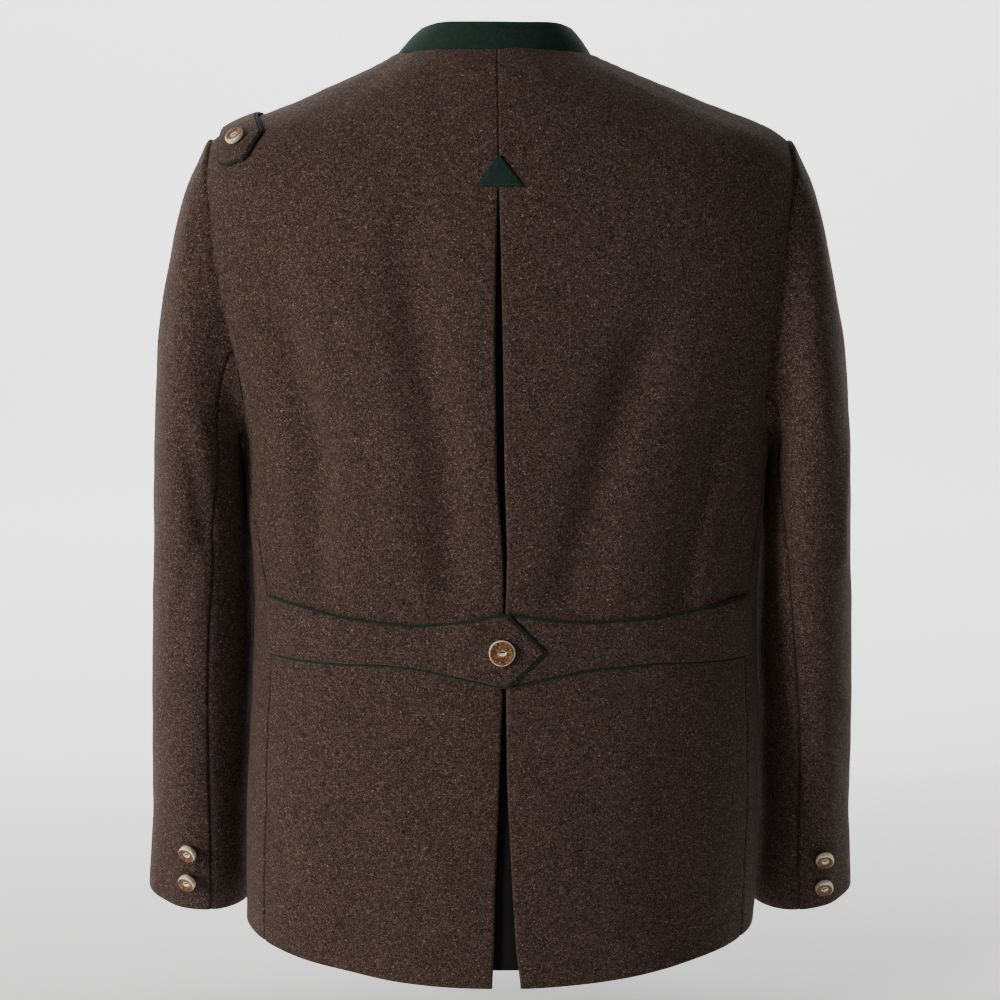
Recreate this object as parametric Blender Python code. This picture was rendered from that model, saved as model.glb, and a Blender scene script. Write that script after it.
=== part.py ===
"""A man's hunting jacket in brown wool with green felt trim, in its worn shape with no wearer.

Metres, +Z up, the front faces -Y and the wearer's left is +X. The origin is the middle of the neck
opening, level with the collar seam at the centre back. Every cloth piece is a wall round a middle
surface, and what lies on a panel is made from the panel's own points, moved out.
"""

import math

import bmesh
import bpy
from mathutils import Vector

# Thicknesses and gaps
CLOTH = 0.002
FELT = 0.0016
COLLAR_WALL = 0.0024
BELT_WALL = 0.0024
STRAP_WALL = 0.0028
SEAM_GAP = 0.0003
LAY_GAP = 0.0005
UNDERLAY_GAP = 0.0012
ARMHOLE_GAP = 0.0006
STRAP_GAP = 0.0015

# The body of the jacket as horizontal rings, from the neck seam to the hem.
# Each ring lies lower at the back and the front than at the sides where the shoulders slope.
# Columns: side_z, back_z, front_z, half_width, back_depth, front_depth, sideways
BODY_RINGS = (
    (-0.0045, 0.0000, -0.0720, 0.0755, 0.0600, 0.0660, 0.0050),
    (-0.0175, -0.0210, -0.0840, 0.1030, 0.0800, 0.0810, 0.0020),
    (-0.0415, -0.0580, -0.1060, 0.1591, 0.1020, 0.1010, 0.0000),
    (-0.0740, -0.1020, -0.1380, 0.2290, 0.1160, 0.1160, 0.0000),
    (-0.1310, -0.1480, -0.1700, 0.2465, 0.1230, 0.1240, 0.0000),
    (-0.1900, -0.1970, -0.2060, 0.2450, 0.1250, 0.1270, 0.0000),
    (-0.2485, -0.2490, -0.2500, 0.2320, 0.1240, 0.1290, -0.0020),
    (-0.3050, -0.3050, -0.3050, 0.2155, 0.1200, 0.1270, -0.0050),
    (-0.3700, -0.3700, -0.3700, 0.2110, 0.1150, 0.1200, -0.0045),
    (-0.4600, -0.4600, -0.4600, 0.2070, 0.1120, 0.1130, -0.0045),
    (-0.5500, -0.5500, -0.5500, 0.2115, 0.1180, 0.1200, -0.0040),
    (-0.6500, -0.6500, -0.6500, 0.2145, 0.1290, 0.1280, -0.0020),
    (-0.7215, -0.7345, -0.7270, 0.2138, 0.1350, 0.1320, 0.0000),
)
BODY_SIDEWAYS = tuple((row[0], row[6]) for row in BODY_RINGS)
NECK_START_RING = 0.020
SHOULDER_RING = 3
ARMPIT_RING = 7
WAIST_RING = 9
HEM_RING = 12

# Armhole: how far its back and front edges lie from the side, in degrees round the body
ARMHOLE_BACK = 25.0
ARMHOLE_FRONT = 30.0
ARMHOLE_ROUNDNESS = 0.8
ARMPIT_BEHIND_SIDE = 4.0
ARMHOLE_STEPS = 8

# Side seams, in degrees from the centre back. Columns: ring, left seam, right seam
SIDE_SEAMS = (
    (7.0, 86.0, 86.0),
    (7.5, 79.0, 80.5),
    (8.0, 73.0, 75.5),
    (8.6, 68.5, 72.0),
    (9.2, 66.0, 69.5),
    (12.0, 65.0, 68.5),
)

# Soft troughs that hang in the body cloth: above the belt at the back, below it, then the fronts.
# Columns: top angle, top height, bottom angle, bottom height, half width in degrees, depth
BODY_FOLDS = (
    (17.5, -0.070, 11.5, -0.430, 4.8, 0.0044),
    (43.5, -0.190, 46.5, -0.430, 7.5, 0.0052),
    (-31.0, -0.190, -12.0, -0.435, 5.2, 0.0044),
    (-51.0, -0.260, -42.0, -0.430, 5.2, 0.0042),
    (-66.0, -0.290, -59.0, -0.430, 5.5, 0.0026),
    (29.0, -0.530, 36.0, -0.840, 9.0, 0.0026),
    (-38.0, -0.490, -45.0, -0.830, 9.0, 0.0018),
    (126.0, -0.180, 134.0, -0.520, 8.0, 0.0042),
    (-129.0, -0.200, -137.0, -0.540, 8.0, 0.0036),
    (143.0, -0.440, 139.0, -0.830, 10.0, 0.0032),
    (-140.0, -0.460, -137.0, -0.830, 10.0, 0.0028),
)
FOLD_RISE = 0.45
FOLD_FALL = 0.15

# Visible edges of the two back panels at the centre. Columns: height, left edge x, right edge x
CENTRE_BACK = (
    (0.0000, 0.0021, 0.0018),
    (-0.0800, 0.0009, 0.0006),
    (-0.1040, 0.0011, 0.0008),
    (-0.1485, 0.0026, -0.0006),
    (-0.1860, 0.0033, -0.0014),
    (-0.2240, 0.0036, -0.0022),
    (-0.3250, 0.0022, -0.0036),
    (-0.3890, -0.0026, -0.0056),
    (-0.4330, -0.0030, -0.0042),
    (-0.4940, -0.0022, -0.0046),
    (-0.5650, 0.0001, -0.0055),
    (-0.6210, 0.0022, -0.0080),
    (-0.6610, 0.0038, -0.0103),
    (-0.7020, 0.0046, -0.0127),
    (-0.7320, 0.0060, -0.0162),
)
FOLD_RADIUS = 0.0013
SEAM_RETURN = 0.012
PLEAT_RETURN = 0.030
PLEAT_TOP_RING = 3.2
PLEAT_TOP_EASE = 0.6
UNDERLAY_HALF_WIDTH = 0.036
UNDERLAY_COLUMNS = 4
UNDERLAY_TOP_RING = 3.0
UNDERLAY_END_RING = 11.84

BACK_COLUMNS = 16
FRONT_COLUMNS = 16
FRONT_LAP = 0.020
LAP_STEP = CLOTH + 0.0005
LAP_MARGIN = 0.004
LAP_EASE = 0.030

# The sleeve as rings between an outer and an inner point, from the armhole to the cuff.
# The sleeve's inner side moves sideways with the body's rings, and its outer side by a share of that.
# Columns: outer_x, outer_z, inner_x, inner_z, middle_y, half_depth, back_drop,
# share of the armhole's own shape
SLEEVE_RINGS = (
    (0.2290, -0.0740, 0.2155, -0.3050, -0.0050, 0.0580, 0.000, 1.00),
    (0.2325, -0.0745, 0.2180, -0.3050, -0.0050, 0.0580, 0.000, 1.00),
    (0.2392, -0.0880, 0.2190, -0.3056, -0.0055, 0.0605, 0.000, 0.85),
    (0.2525, -0.1175, 0.2195, -0.3078, -0.0060, 0.0640, 0.000, 0.60),
    (0.2650, -0.1650, 0.2195, -0.3120, -0.0070, 0.0680, 0.000, 0.35),
    (0.2762, -0.2250, 0.2190, -0.3190, -0.0090, 0.0710, 0.000, 0.15),
    (0.2820, -0.2880, 0.2175, -0.3300, -0.0120, 0.0730, 0.000, 0.05),
    (0.2858, -0.3480, 0.2154, -0.3520, -0.0170, 0.0730, 0.000, 0.00),
    (0.2894, -0.4080, 0.2130, -0.4080, -0.0240, 0.0700, 0.000, 0.00),
    (0.2924, -0.4680, 0.2114, -0.4680, -0.0320, 0.0670, 0.000, 0.00),
    (0.2955, -0.5300, 0.2148, -0.5300, -0.0380, 0.0630, 0.000, 0.00),
    (0.2978, -0.5900, 0.2180, -0.5930, -0.0450, 0.0580, 0.001, 0.00),
    (0.3000, -0.6480, 0.2193, -0.6550, -0.0510, 0.0530, 0.002, 0.00),
    (0.3040, -0.7115, 0.2186, -0.7215, -0.0560, 0.0480, 0.005, 0.00),
)
# The seams' angles in each of these rings. Columns: left hind, left fore, right hind, right fore
SLEEVE_SEAMS = (
    (112.5, 202.5, 135.0, 225.0),
    (112.5, 202.5, 135.0, 225.0),
    (114.0, 206.0, 135.5, 226.0),
    (117.0, 212.0, 137.0, 228.0),
    (120.0, 219.0, 140.0, 230.0),
    (123.0, 226.0, 144.0, 232.0),
    (125.0, 232.0, 147.0, 234.0),
    (119.5, 235.0, 139.0, 235.0),
    (111.5, 237.0, 121.0, 237.0),
    (104.0, 239.0, 110.5, 239.0),
    (103.5, 241.0, 105.0, 241.0),
    (105.5, 243.0, 102.5, 243.0),
    (107.5, 244.0, 101.0, 244.0),
    (109.0, 245.0, 98.0, 245.0),
)
# The armhole point, counted from the shoulder over the back, where each fore seam starts
FORE_SEAM_STARTS = {1: 9, -1: 10}
OUTER_SIDEWAYS_SHARE = 0.4
TOP_SLEEVE_COLUMNS = 12
UNDER_SLEEVE_COLUMNS = 4

# Stand collar: the top ring, which leans in over the neck seam
COLLAR_TOP_SIDE_Z = 0.0155
COLLAR_TOP_BACK_Z = 0.0205
COLLAR_TOP_FRONT_Z = -0.0520
COLLAR_TOP_HALF_WIDTH = 0.0575
COLLAR_TOP_SIDEWAYS = 0.0025
COLLAR_TOP_BACK_DEPTH = 0.0500
COLLAR_TOP_FRONT_DEPTH = 0.0570
COLLAR_COLUMNS = 30
COLLAR_FRONT_ANGLE = 177.5
COLLAR_SEAM_SHARE = 0.026

# Half belt edges. Columns: distance from the centre, top edge, bottom edge
BELT_EDGES = (
    (-0.2100, -0.4345, -0.4860),
    (-0.1900, -0.4360, -0.4845),
    (-0.1263, -0.4418, -0.4773),
    (-0.0700, -0.4426, -0.4786),
    (-0.0350, -0.4390, -0.4848),
    (-0.0039, -0.4333, -0.4914),
    (0.0234, -0.4400, -0.4852),
    (0.0665, -0.4458, -0.4778),
    (0.0942, -0.4442, -0.4768),
    (0.1263, -0.4420, -0.4793),
    (0.1900, -0.4339, -0.4815),
    (0.2100, -0.4312, -0.4820),
)
BELT_POINT_X = -0.0340
BELT_POINT_Z = -0.4635
BELT_SHOULDER_X = -0.0060
BELT_POINT_SHARES = (0.5, 0.93)
BELT_UNDER_END_X = 0.0200
BELT_SIDE_ROOM = 0.004
BELT_LIFT_MARGIN = 0.004
BELT_LIFT_EASE = 0.030
PIPING = 0.0018

# Green felt triangle over the top of the pleat. Columns: height, left edge x, right edge x
TRIANGLE_ROWS = (
    (-0.0795, 0.0018, -0.0002),
    (-0.0870, 0.0075, -0.0060),
    (-0.0945, 0.0132, -0.0118),
    (-0.1020, 0.0188, -0.0176),
)
TRIANGLE_COLUMNS = 4

# Shoulder strap seen from above, back end to front end. Columns: y, outer x, inner x
STRAP_ROWS = (
    (0.0612, 0.1975, 0.1935),
    (0.0585, 0.2018, 0.1908),
    (0.0545, 0.2085, 0.1868),
    (0.0510, 0.2130, 0.1846),
    (0.0470, 0.2160, 0.1858),
    (0.0400, 0.2176, 0.1882),
    (0.0250, 0.2180, 0.1912),
    (0.0110, 0.2184, 0.1930),
    (-0.0040, 0.2184, 0.1925),
    (-0.0200, 0.2165, 0.1895),
    (-0.0350, 0.2125, 0.1850),
    (-0.0480, 0.2065, 0.1785),
    (-0.0580, 0.1985, 0.1700),
)
STRAP_COLUMNS = 3

# Buttons
LARGE_BUTTON = 0.0205
SMALL_BUTTON = 0.0155
BUTTON_HEIGHT_SHARE = 0.19
BUTTON_SIDES = 16
# Share of the radius and share of the height, from the back's middle to the face's middle
BUTTON_PROFILE = ((0.86, 0.0), (1.0, 0.30), (1.0, 0.66), (0.90, 1.0), (0.74, 0.94), (0.0, 0.80))
FRONT_BUTTON_HEIGHTS = (-0.112, -0.207, -0.302, -0.397, -0.492)
BELT_BUTTON_PLACE = (-0.0016, -0.4625)
STRAP_BUTTON_PLACE = (0.2027, 0.0456)
# Two places on each sleeve: the angle round it in degrees, and the ring
CUFF_BUTTON_PLACES = {
    "left": ((84.0, 12.20), (84.0, 12.60)),
    "right": ((72.0, 12.32), (72.0, 12.70)),
}

BROWN_WOOL = ("brown_wool", (0.060, 0.042, 0.031), 0.95)
DARK_CLOTH = ("dark_cloth", (0.010, 0.009, 0.010), 0.95)
GREEN_FELT = ("green_felt", (0.012, 0.036, 0.028), 0.92)
STAGHORN = ("staghorn", (0.420, 0.250, 0.130), 0.50)


def material_for(finish):
    """The Principled material of a finish, made once."""
    name, colour, roughness = finish
    if name in bpy.data.materials:
        return bpy.data.materials[name]
    material = bpy.data.materials.new(name)
    material.use_nodes = True
    shader = material.node_tree.nodes["Principled BSDF"]
    shader.inputs["Base Color"].default_value = (*colour, 1.0)
    shader.inputs["Roughness"].default_value = roughness
    shader.inputs["Metallic"].default_value = 0.0
    return material


def add_object(name, mesh, finish):
    """Links a finished mesh as one named sub-part."""
    for face in mesh.polygons:
        face.use_smooth = True
    mesh.set_sharp_from_angle(angle=math.radians(40))
    mesh.materials.append(material_for(finish))
    piece = bpy.data.objects.new(name, mesh)
    bpy.context.scene.collection.objects.link(piece)
    return piece


def smooth_step(value):
    value = min(max(value, 0.0), 1.0)
    return value * value * (3.0 - 2.0 * value)


def between_rows(table, position):
    """The row of a table at a fractional position, on a smooth curve through its rows."""
    last = len(table) - 1
    index = min(max(math.floor(position), 0), last - 1)
    f = position - index
    before = table[index - 1] if index > 0 else [2 * a - b for a, b in zip(table[0], table[1])]
    start, end = table[index], table[index + 1]
    if index + 2 <= last:
        after = table[index + 2]
    else:
        after = [2 * b - a for a, b in zip(table[last - 1], table[last])]
    row = []
    for p0, p1, p2, p3 in zip(before, start, end, after):
        leave, arrive = (p2 - p0) / 2, (p3 - p1) / 2
        curve = p1 * (2 * f**3 - 3 * f**2 + 1) + leave * (f**3 - 2 * f**2 + f)
        row.append(curve + p2 * (3 * f**2 - 2 * f**3) + arrive * (f**3 - f**2))
    return row


def look_up(table, value, column):
    """A column of a table read at a value of its first column, with straight runs between rows."""
    rows = sorted(table)
    value = min(max(value, rows[0][0]), rows[-1][0])
    for low, high in zip(rows, rows[1:]):
        if value <= high[0]:
            share = (value - low[0]) / (high[0] - low[0])
            return low[column] + (high[column] - low[column]) * share
    return rows[-1][column]


def fold_depth(angle, height):
    """How far the soft folds press the cloth in at an angle and a height on the body."""
    depth = 0.0
    for top_angle, top_z, bottom_angle, bottom_z, half_width, deepest in BODY_FOLDS:
        along = (top_z - height) / (top_z - bottom_z)
        if 0.0 < along < 1.0:
            centre = top_angle + (bottom_angle - top_angle) * along
            across = (math.degrees(angle) - centre) / half_width
            ends = smooth_step(along / FOLD_RISE) * smooth_step((1.0 - along) / FOLD_FALL)
            depth += deepest * ends * math.exp(-across * across)
    return depth


def plain_body_point(angle, ring):
    """A point on the body without its folds: angle from the centre back towards the wearer's left."""
    side_z, back_z, front_z, half_width, back_depth, front_depth, sideways = between_rows(
        BODY_RINGS, ring
    )
    forward = math.cos(angle)
    depth, end_z = (back_depth, back_z) if forward > 0 else (front_depth, front_z)
    height = side_z + (end_z - side_z) * forward * forward
    return Vector((half_width * math.sin(angle) + sideways, depth * forward, height))


def body_point(angle, ring, lift=0.0):
    """A point on the body with its folds, moved out by the lift, and the direction that faces out."""
    step = 1e-3
    round_body = plain_body_point(angle + step, ring) - plain_body_point(angle - step, ring)
    down_body = plain_body_point(angle, ring + step) - plain_body_point(angle, ring - step)
    outward = round_body.cross(down_body).normalized()
    place = plain_body_point(angle, ring)
    return place + outward * (lift - fold_depth(angle, place.z)), outward


def arc_per_radian(angle, ring):
    """Metres along the ring for each radian at a place on the body."""
    step = 1e-3
    return (plain_body_point(angle + step, ring) - plain_body_point(angle - step, ring)).length / (
        2 * step
    )


def ring_at(height, angle):
    """The ring position at which the body has a height, at one angle."""
    low, high = 0.0, float(HEM_RING)
    for _ in range(30):
        middle = (low + high) / 2
        if plain_body_point(angle, middle).z > height:
            low = middle
        else:
            high = middle
    return (low + high) / 2


def angle_at(x, ring, behind=True):
    """The angle at which a ring is x to the side, on the back or on the front."""
    row = between_rows(BODY_RINGS, ring)
    half_width, sideways = row[3], row[6]
    angle = math.asin(min(max((x - sideways) / half_width, -1.0), 1.0))
    return angle if behind else math.pi - angle


def back_place(x, height):
    """Angle and ring of a place on the back, from its x and its height."""
    angle = 0.0
    for _ in range(6):
        ring = ring_at(height, angle)
        angle = angle_at(x, ring)
    return angle, ring


def armhole_turn(step):
    return math.pi * step / ARMHOLE_STEPS


def armhole_ring(turn):
    """Ring position of a point of the armhole: 0 is its top and pi its bottom."""
    return SHOULDER_RING + (ARMPIT_RING - SHOULDER_RING) * (1.0 - math.cos(turn)) / 2.0


def armhole_angle(turn, behind):
    """Angle of a point of the armhole's back or front edge."""
    reach = abs(math.sin(turn)) ** ARMHOLE_ROUNDNESS
    middle = 90.0 - ARMPIT_BEHIND_SIDE * (1.0 - math.cos(turn)) / 2.0
    return math.radians(middle - ARMHOLE_BACK * reach if behind else middle + ARMHOLE_FRONT * reach)


def panel_rows():
    """Ring positions of every row of a panel, with the turn round the armhole where there is one."""
    rows = [(NECK_START_RING, None)] + [(0.5 * step, None) for step in range(1, 2 * SHOULDER_RING)]
    rows += [(armhole_ring(armhole_turn(s)), armhole_turn(s)) for s in range(ARMHOLE_STEPS + 1)]
    steps_below = 2 * (HEM_RING - ARMPIT_RING)
    rows += [(ARMPIT_RING + 0.5 * step, None) for step in range(1, steps_below + 1)]
    return rows


def outer_edge(side, ring, turn, behind):
    """Angle of a panel's outer edge: the shoulder seam, the armhole and the side seam in turn."""
    seam = SEAM_GAP / 2 / arc_per_radian(math.pi / 2, ring) * (-1 if behind else 1)
    if turn is not None and 0.0 < turn < math.pi:
        return armhole_angle(turn, behind)
    if ring <= SHOULDER_RING:
        return math.pi / 2 + seam
    return math.radians(look_up(SIDE_SEAMS, ring, 1 if side > 0 else 2)) + seam


def laid_point(angle, ring, lift):
    """A point on a panel's own flat facets, between the two rows nearest to it, moved out by the lift."""
    rings = [row_ring for row_ring, _ in panel_rows()]
    above = max(row_ring for row_ring in rings if row_ring <= ring)
    below = min(row_ring for row_ring in rings if row_ring > ring)
    share = (ring - above) / (below - above)
    (high, high_out), (low, low_out) = body_point(angle, above, lift), body_point(angle, below, lift)
    return high.lerp(low, share), high_out.lerp(low_out, share).normalized()


def wall(name, rows, thickness, finish):
    """A closed wall round a grid of points, each with the direction in which it faces."""
    half = thickness / 2
    shape = bmesh.new()
    faces_out = [[shape.verts.new(p + n * half) for p, n in row] for row in rows]
    faces_in = [[shape.verts.new(p - n * half) for p, n in row] for row in rows]
    down, across = len(rows), len(rows[0])
    for j in range(down - 1):
        for i in range(across - 1):
            for layer in (faces_out, faces_in):
                quad = (layer[j][i], layer[j][i + 1], layer[j + 1][i + 1], layer[j + 1][i])
                shape.faces.new(quad if layer is faces_out else quad[::-1])
    border = [(0, i) for i in range(across)]
    border += [(j, across - 1) for j in range(1, down)]
    border += [(down - 1, i) for i in range(across - 2, -1, -1)]
    border += [(j, 0) for j in range(down - 2, 0, -1)]
    for (j0, i0), (j1, i1) in zip(border, border[1:] + border[:1]):
        shape.faces.new((faces_out[j0][i0], faces_in[j0][i0], faces_in[j1][i1], faces_out[j1][i1]))
    bmesh.ops.recalc_face_normals(shape, faces=shape.faces)
    mesh = bpy.data.meshes.new(name)
    shape.to_mesh(mesh)
    shape.free()
    return add_object(name, mesh, finish)


def folded_centre_edge(edge_angle, ring, side):
    """The rounded fold at a back panel's centre edge and the cloth that returns inside it."""
    place, outward = body_point(edge_angle, ring)
    along = (body_point(edge_angle + side * 1e-3, ring)[0] - place).normalized()
    opened = smooth_step((ring - PLEAT_TOP_RING) / PLEAT_TOP_EASE)
    depth = SEAM_RETURN + (PLEAT_RETURN - SEAM_RETURN) * opened
    row = []
    for share in (1.0, 0.5):
        angle = edge_angle + side * depth * share / arc_per_radian(edge_angle, ring)
        inside, faces = body_point(angle, ring, -2 * FOLD_RADIUS)
        row.append((inside, -faces))
    centre = place - outward * FOLD_RADIUS
    for degrees in (180, 120, 60):
        turned = math.radians(degrees)
        faces = outward * math.cos(turned) - along * math.sin(turned)
        row.append((centre + faces * FOLD_RADIUS, faces))
    return row


def back_start(side, ring):
    """Angle at which a back panel's fold starts, so that the fold's round edge is the edge that shows."""
    edge_x = look_up(CENTRE_BACK, plain_body_point(0.0, ring).z, 1 if side > 0 else 2)
    return angle_at(edge_x + side * (FOLD_RADIUS + CLOTH / 2), ring)


def back_panel(name, side):
    """One back panel, from the folded centre edge to the shoulder, armhole and side seams."""
    rows = []
    for ring, turn in panel_rows():
        start = back_start(side, ring)
        end = side * outer_edge(side, ring, turn, behind=True)
        row = folded_centre_edge(start, ring, side)
        for column in range(BACK_COLUMNS + 1):
            row.append(body_point(start + (end - start) * column / BACK_COLUMNS, ring))
        rows.append(row)
    return wall(name, rows, CLOTH, BROWN_WOOL)


def front_panel(name, side):
    """One front panel. The wearer's left one laps over the right one at the centre front."""
    rows = []
    for ring, turn in panel_rows():
        start = side * outer_edge(side, ring, turn, behind=False)
        end = side * angle_at(-FRONT_LAP + side * plain_body_point(math.pi, ring).x, ring, behind=False)
        row = []
        for column in range(FRONT_COLUMNS + 1):
            angle = start + (end - start) * column / FRONT_COLUMNS
            lift = 0.0
            if side < 0:
                from_centre = -plain_body_point(angle, ring).x - FRONT_LAP - LAP_MARGIN
                lift = -LAP_STEP * (1.0 - smooth_step(from_centre / LAP_EASE))
            row.append(body_point(angle, ring, lift))
        rows.append(row)
    return wall(name, rows, CLOTH, BROWN_WOOL)


def pleat_underlay():
    """The dark strip behind the pleat and the vent, a little shorter than the panels."""
    lift = -(2 * FOLD_RADIUS + CLOTH + UNDERLAY_GAP)
    rings = [ring for ring, _ in panel_rows() if UNDERLAY_TOP_RING <= ring < UNDERLAY_END_RING]
    rows = []
    for ring in rings + [UNDERLAY_END_RING]:
        middle = plain_body_point(0.0, ring).x
        row = []
        for column in range(-UNDERLAY_COLUMNS, UNDERLAY_COLUMNS + 1):
            x = middle + UNDERLAY_HALF_WIDTH * column / UNDERLAY_COLUMNS
            row.append(laid_point(angle_at(x, ring), ring, lift))
        rows.append(row)
    return wall("pleat_underlay", rows, CLOTH, DARK_CLOTH)


def armhole_loop(side):
    """The sleeve's first ring: the armhole's points moved into the opening by the seam's gap."""
    count = 2 * ARMHOLE_STEPS
    turns = [2 * math.pi * step / count for step in range(count)]
    places = []
    for turn in turns:
        behind = turn <= math.pi
        ring = armhole_ring(turn if behind else 2 * math.pi - turn)
        angle = armhole_angle(turn if behind else 2 * math.pi - turn, behind)
        places.append(body_point(side * angle, ring))
    middle = sum((place for place, _ in places), Vector()) / count
    loop = []
    for (place, outward), turn in zip(places, turns):
        inward = middle - place
        inward = (inward - outward * inward.dot(outward)).normalized()
        sleeve_faces = Vector((0.0, math.sin(turn), math.cos(turn)))
        room = ARMHOLE_GAP + CLOTH / 2 * max(0.0, -sleeve_faces.dot(inward))
        loop.append(place + inward * room)
    return loop


def plain_sleeve_point(side, ring, angle):
    """A point of the sleeve's plain rings: angle 0 is its outer side, then the back and the inside."""
    outer_x, outer_z, inner_x, inner_z, middle_y, half_depth, back_drop = between_rows(
        SLEEVE_RINGS, ring
    )[:7]
    inner_x += side * look_up(BODY_SIDEWAYS, inner_z, 1)
    outer_x += side * look_up(BODY_SIDEWAYS, outer_z, 1) * OUTER_SIDEWAYS_SHARE
    c, s = math.cos(angle), math.sin(angle)
    x = (outer_x + inner_x) / 2 + (outer_x - inner_x) / 2 * c
    z = (outer_z + inner_z) / 2 + (outer_z - inner_z) / 2 * c - back_drop * s
    return Vector((side * x, middle_y + half_depth * s, z))


def sleeve_angles(side, ring):
    """Angles of one sleeve ring's points, first the top sleeve's and then the under sleeve's."""
    hind, fore = SLEEVE_SEAMS[ring][:2] if side > 0 else SLEEVE_SEAMS[ring][2:]
    hind, fore = math.radians(hind), math.radians(fore)
    over = 2 * math.pi + hind - fore
    under = fore - hind
    angles = [fore + over * i / TOP_SLEEVE_COLUMNS for i in range(TOP_SLEEVE_COLUMNS)]
    return angles + [hind + under * i / UNDER_SLEEVE_COLUMNS for i in range(UNDER_SLEEVE_COLUMNS)]


def sleeve_grid(side):
    """Every point of a sleeve, ring by ring, each with the direction in which it faces."""
    loop = armhole_loop(side)
    count = len(loop)
    first = [loop[(i + FORE_SEAM_STARTS[side]) % count] for i in range(count)]
    plain_first = [plain_sleeve_point(side, 0, angle) for angle in sleeve_angles(side, 0)]
    points = []
    for ring, row in enumerate(SLEEVE_RINGS):
        share = row[7]
        ring_points = []
        for i, angle in enumerate(sleeve_angles(side, ring)):
            own_shape = first[i] - plain_first[i]
            ring_points.append(plain_sleeve_point(side, ring, angle) + own_shape * share)
        points.append(ring_points)
    grid = []
    last = len(points) - 1
    for j, ring_points in enumerate(points):
        middle = sum(ring_points, Vector()) / count
        row = []
        for i, place in enumerate(ring_points):
            round_arm = ring_points[(i + 1) % count] - ring_points[i - 1]
            down_arm = points[min(j + 1, last)][i] - points[max(j - 1, 0)][i]
            faces = round_arm.cross(down_arm).normalized()
            if faces.dot(place - middle) < 0:
                faces.negate()
            row.append((place, faces))
        grid.append(row)
    return grid


def sleeve_half(name, grid, first, last):
    """The columns of a sleeve from one seam to the other, kept apart from its other half."""
    count = len(grid[0])
    rows = []
    for ring_points in grid:
        row = [ring_points[i % count] for i in range(first, last + 1)]
        for end, inner in ((0, 1), (-1, -2)):
            place, faces = row[end]
            towards = (row[inner][0] - place).normalized()
            row[end] = (place + towards * SEAM_GAP / 2, faces)
        rows.append(row)
    return wall(name, rows, CLOTH, BROWN_WOOL)


def collar():
    """The stand collar, one strip round the neck seam, open at the centre front."""
    rows = []
    neck = BODY_RINGS[0]
    top = (
        COLLAR_TOP_SIDE_Z,
        COLLAR_TOP_BACK_Z,
        COLLAR_TOP_FRONT_Z,
        COLLAR_TOP_HALF_WIDTH,
        COLLAR_TOP_BACK_DEPTH,
        COLLAR_TOP_FRONT_DEPTH,
        COLLAR_TOP_SIDEWAYS,
    )

    def collar_point(angle, share):
        side_z, back_z, front_z, half, back, front, sideways = (
            a + (b - a) * share for a, b in zip(neck, top)
        )
        forward = math.cos(angle)
        depth, end_z = (back, back_z) if forward > 0 else (front, front_z)
        height = side_z + (end_z - side_z) * forward * forward
        return Vector((half * math.sin(angle) + sideways, depth * forward, height))

    limit = math.radians(COLLAR_FRONT_ANGLE)
    step = 1e-3
    for share in (1.0, 0.5, COLLAR_SEAM_SHARE):
        row = []
        for column in range(COLLAR_COLUMNS + 1):
            angle = -limit + 2 * limit * column / COLLAR_COLUMNS
            round_neck = collar_point(angle + step, share) - collar_point(angle - step, share)
            down = collar_point(angle, share - step) - collar_point(angle, share + step)
            row.append((collar_point(angle, share), round_neck.cross(down).normalized()))
        rows.append(row)
    return wall("collar", rows, COLLAR_WALL, GREEN_FELT)


def belt_lift(x, over):
    """How far the middle of a belt part lies from the panel's middle surface."""
    near = CLOTH / 2 + LAY_GAP + BELT_WALL / 2
    if not over:
        return near
    rise = 1.0 - smooth_step((x - BELT_UNDER_END_X - BELT_LIFT_MARGIN) / BELT_LIFT_EASE)
    return near + (BELT_WALL + LAY_GAP) * rise


def belt_columns(over):
    """The x of each belt column, from the side seam to the free end: the panel's own columns first."""
    side = 1 if over else -1
    start = back_start(side, WAIST_RING)
    outer = side * (outer_edge(side, WAIST_RING, None, behind=True) - BELT_SIDE_ROOM)
    angles = [outer + (start - outer) * step / BACK_COLUMNS for step in range(BACK_COLUMNS + 1)]
    columns = [plain_body_point(angle, WAIST_RING).x for angle in angles]
    return columns + ([BELT_SHOULDER_X] if over else [BELT_UNDER_END_X])


def belt_part(name, over):
    """One part of the half belt: the wearer's left one ends in a point over the right one."""
    columns = belt_columns(over)
    rows = [[], [], []]
    for x in columns:
        top, bottom = look_up(BELT_EDGES, x, 1), look_up(BELT_EDGES, x, 2)
        for row, height in zip(rows, (top, (top + bottom) / 2, bottom)):
            row.append(laid_point(*back_place(x, height), belt_lift(x, over)))
    if over:
        top_start, bottom_start = rows[0][-1][0].z, rows[2][-1][0].z
        for share in BELT_POINT_SHARES:
            x = BELT_SHOULDER_X + (BELT_POINT_X - BELT_SHOULDER_X) * share
            for row, start in zip(rows, (top_start, BELT_POINT_Z, bottom_start)):
                height = start + (BELT_POINT_Z - start) * share
                row.append(laid_point(*back_place(x, height), belt_lift(x, over)))
    rows = [row[::-1] for row in rows]
    return wall(name, rows, BELT_WALL, BROWN_WOOL), rows


def piping_tube(name, route):
    """A thin green cord sewn along an edge."""
    curve = bpy.data.curves.new(name, "CURVE")
    curve.dimensions = "3D"
    curve.bevel_depth = PIPING / 2
    curve.bevel_resolution = 1
    curve.use_fill_caps = True
    curve.materials.append(material_for(GREEN_FELT))
    spline = curve.splines.new("POLY")
    spline.points.add(len(route) - 1)
    for point, place in zip(spline.points, route):
        point.co = (*place, 1.0)
    spline.use_smooth = True
    piece = bpy.data.objects.new(name, curve)
    bpy.context.scene.collection.objects.link(piece)
    return piece


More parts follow.
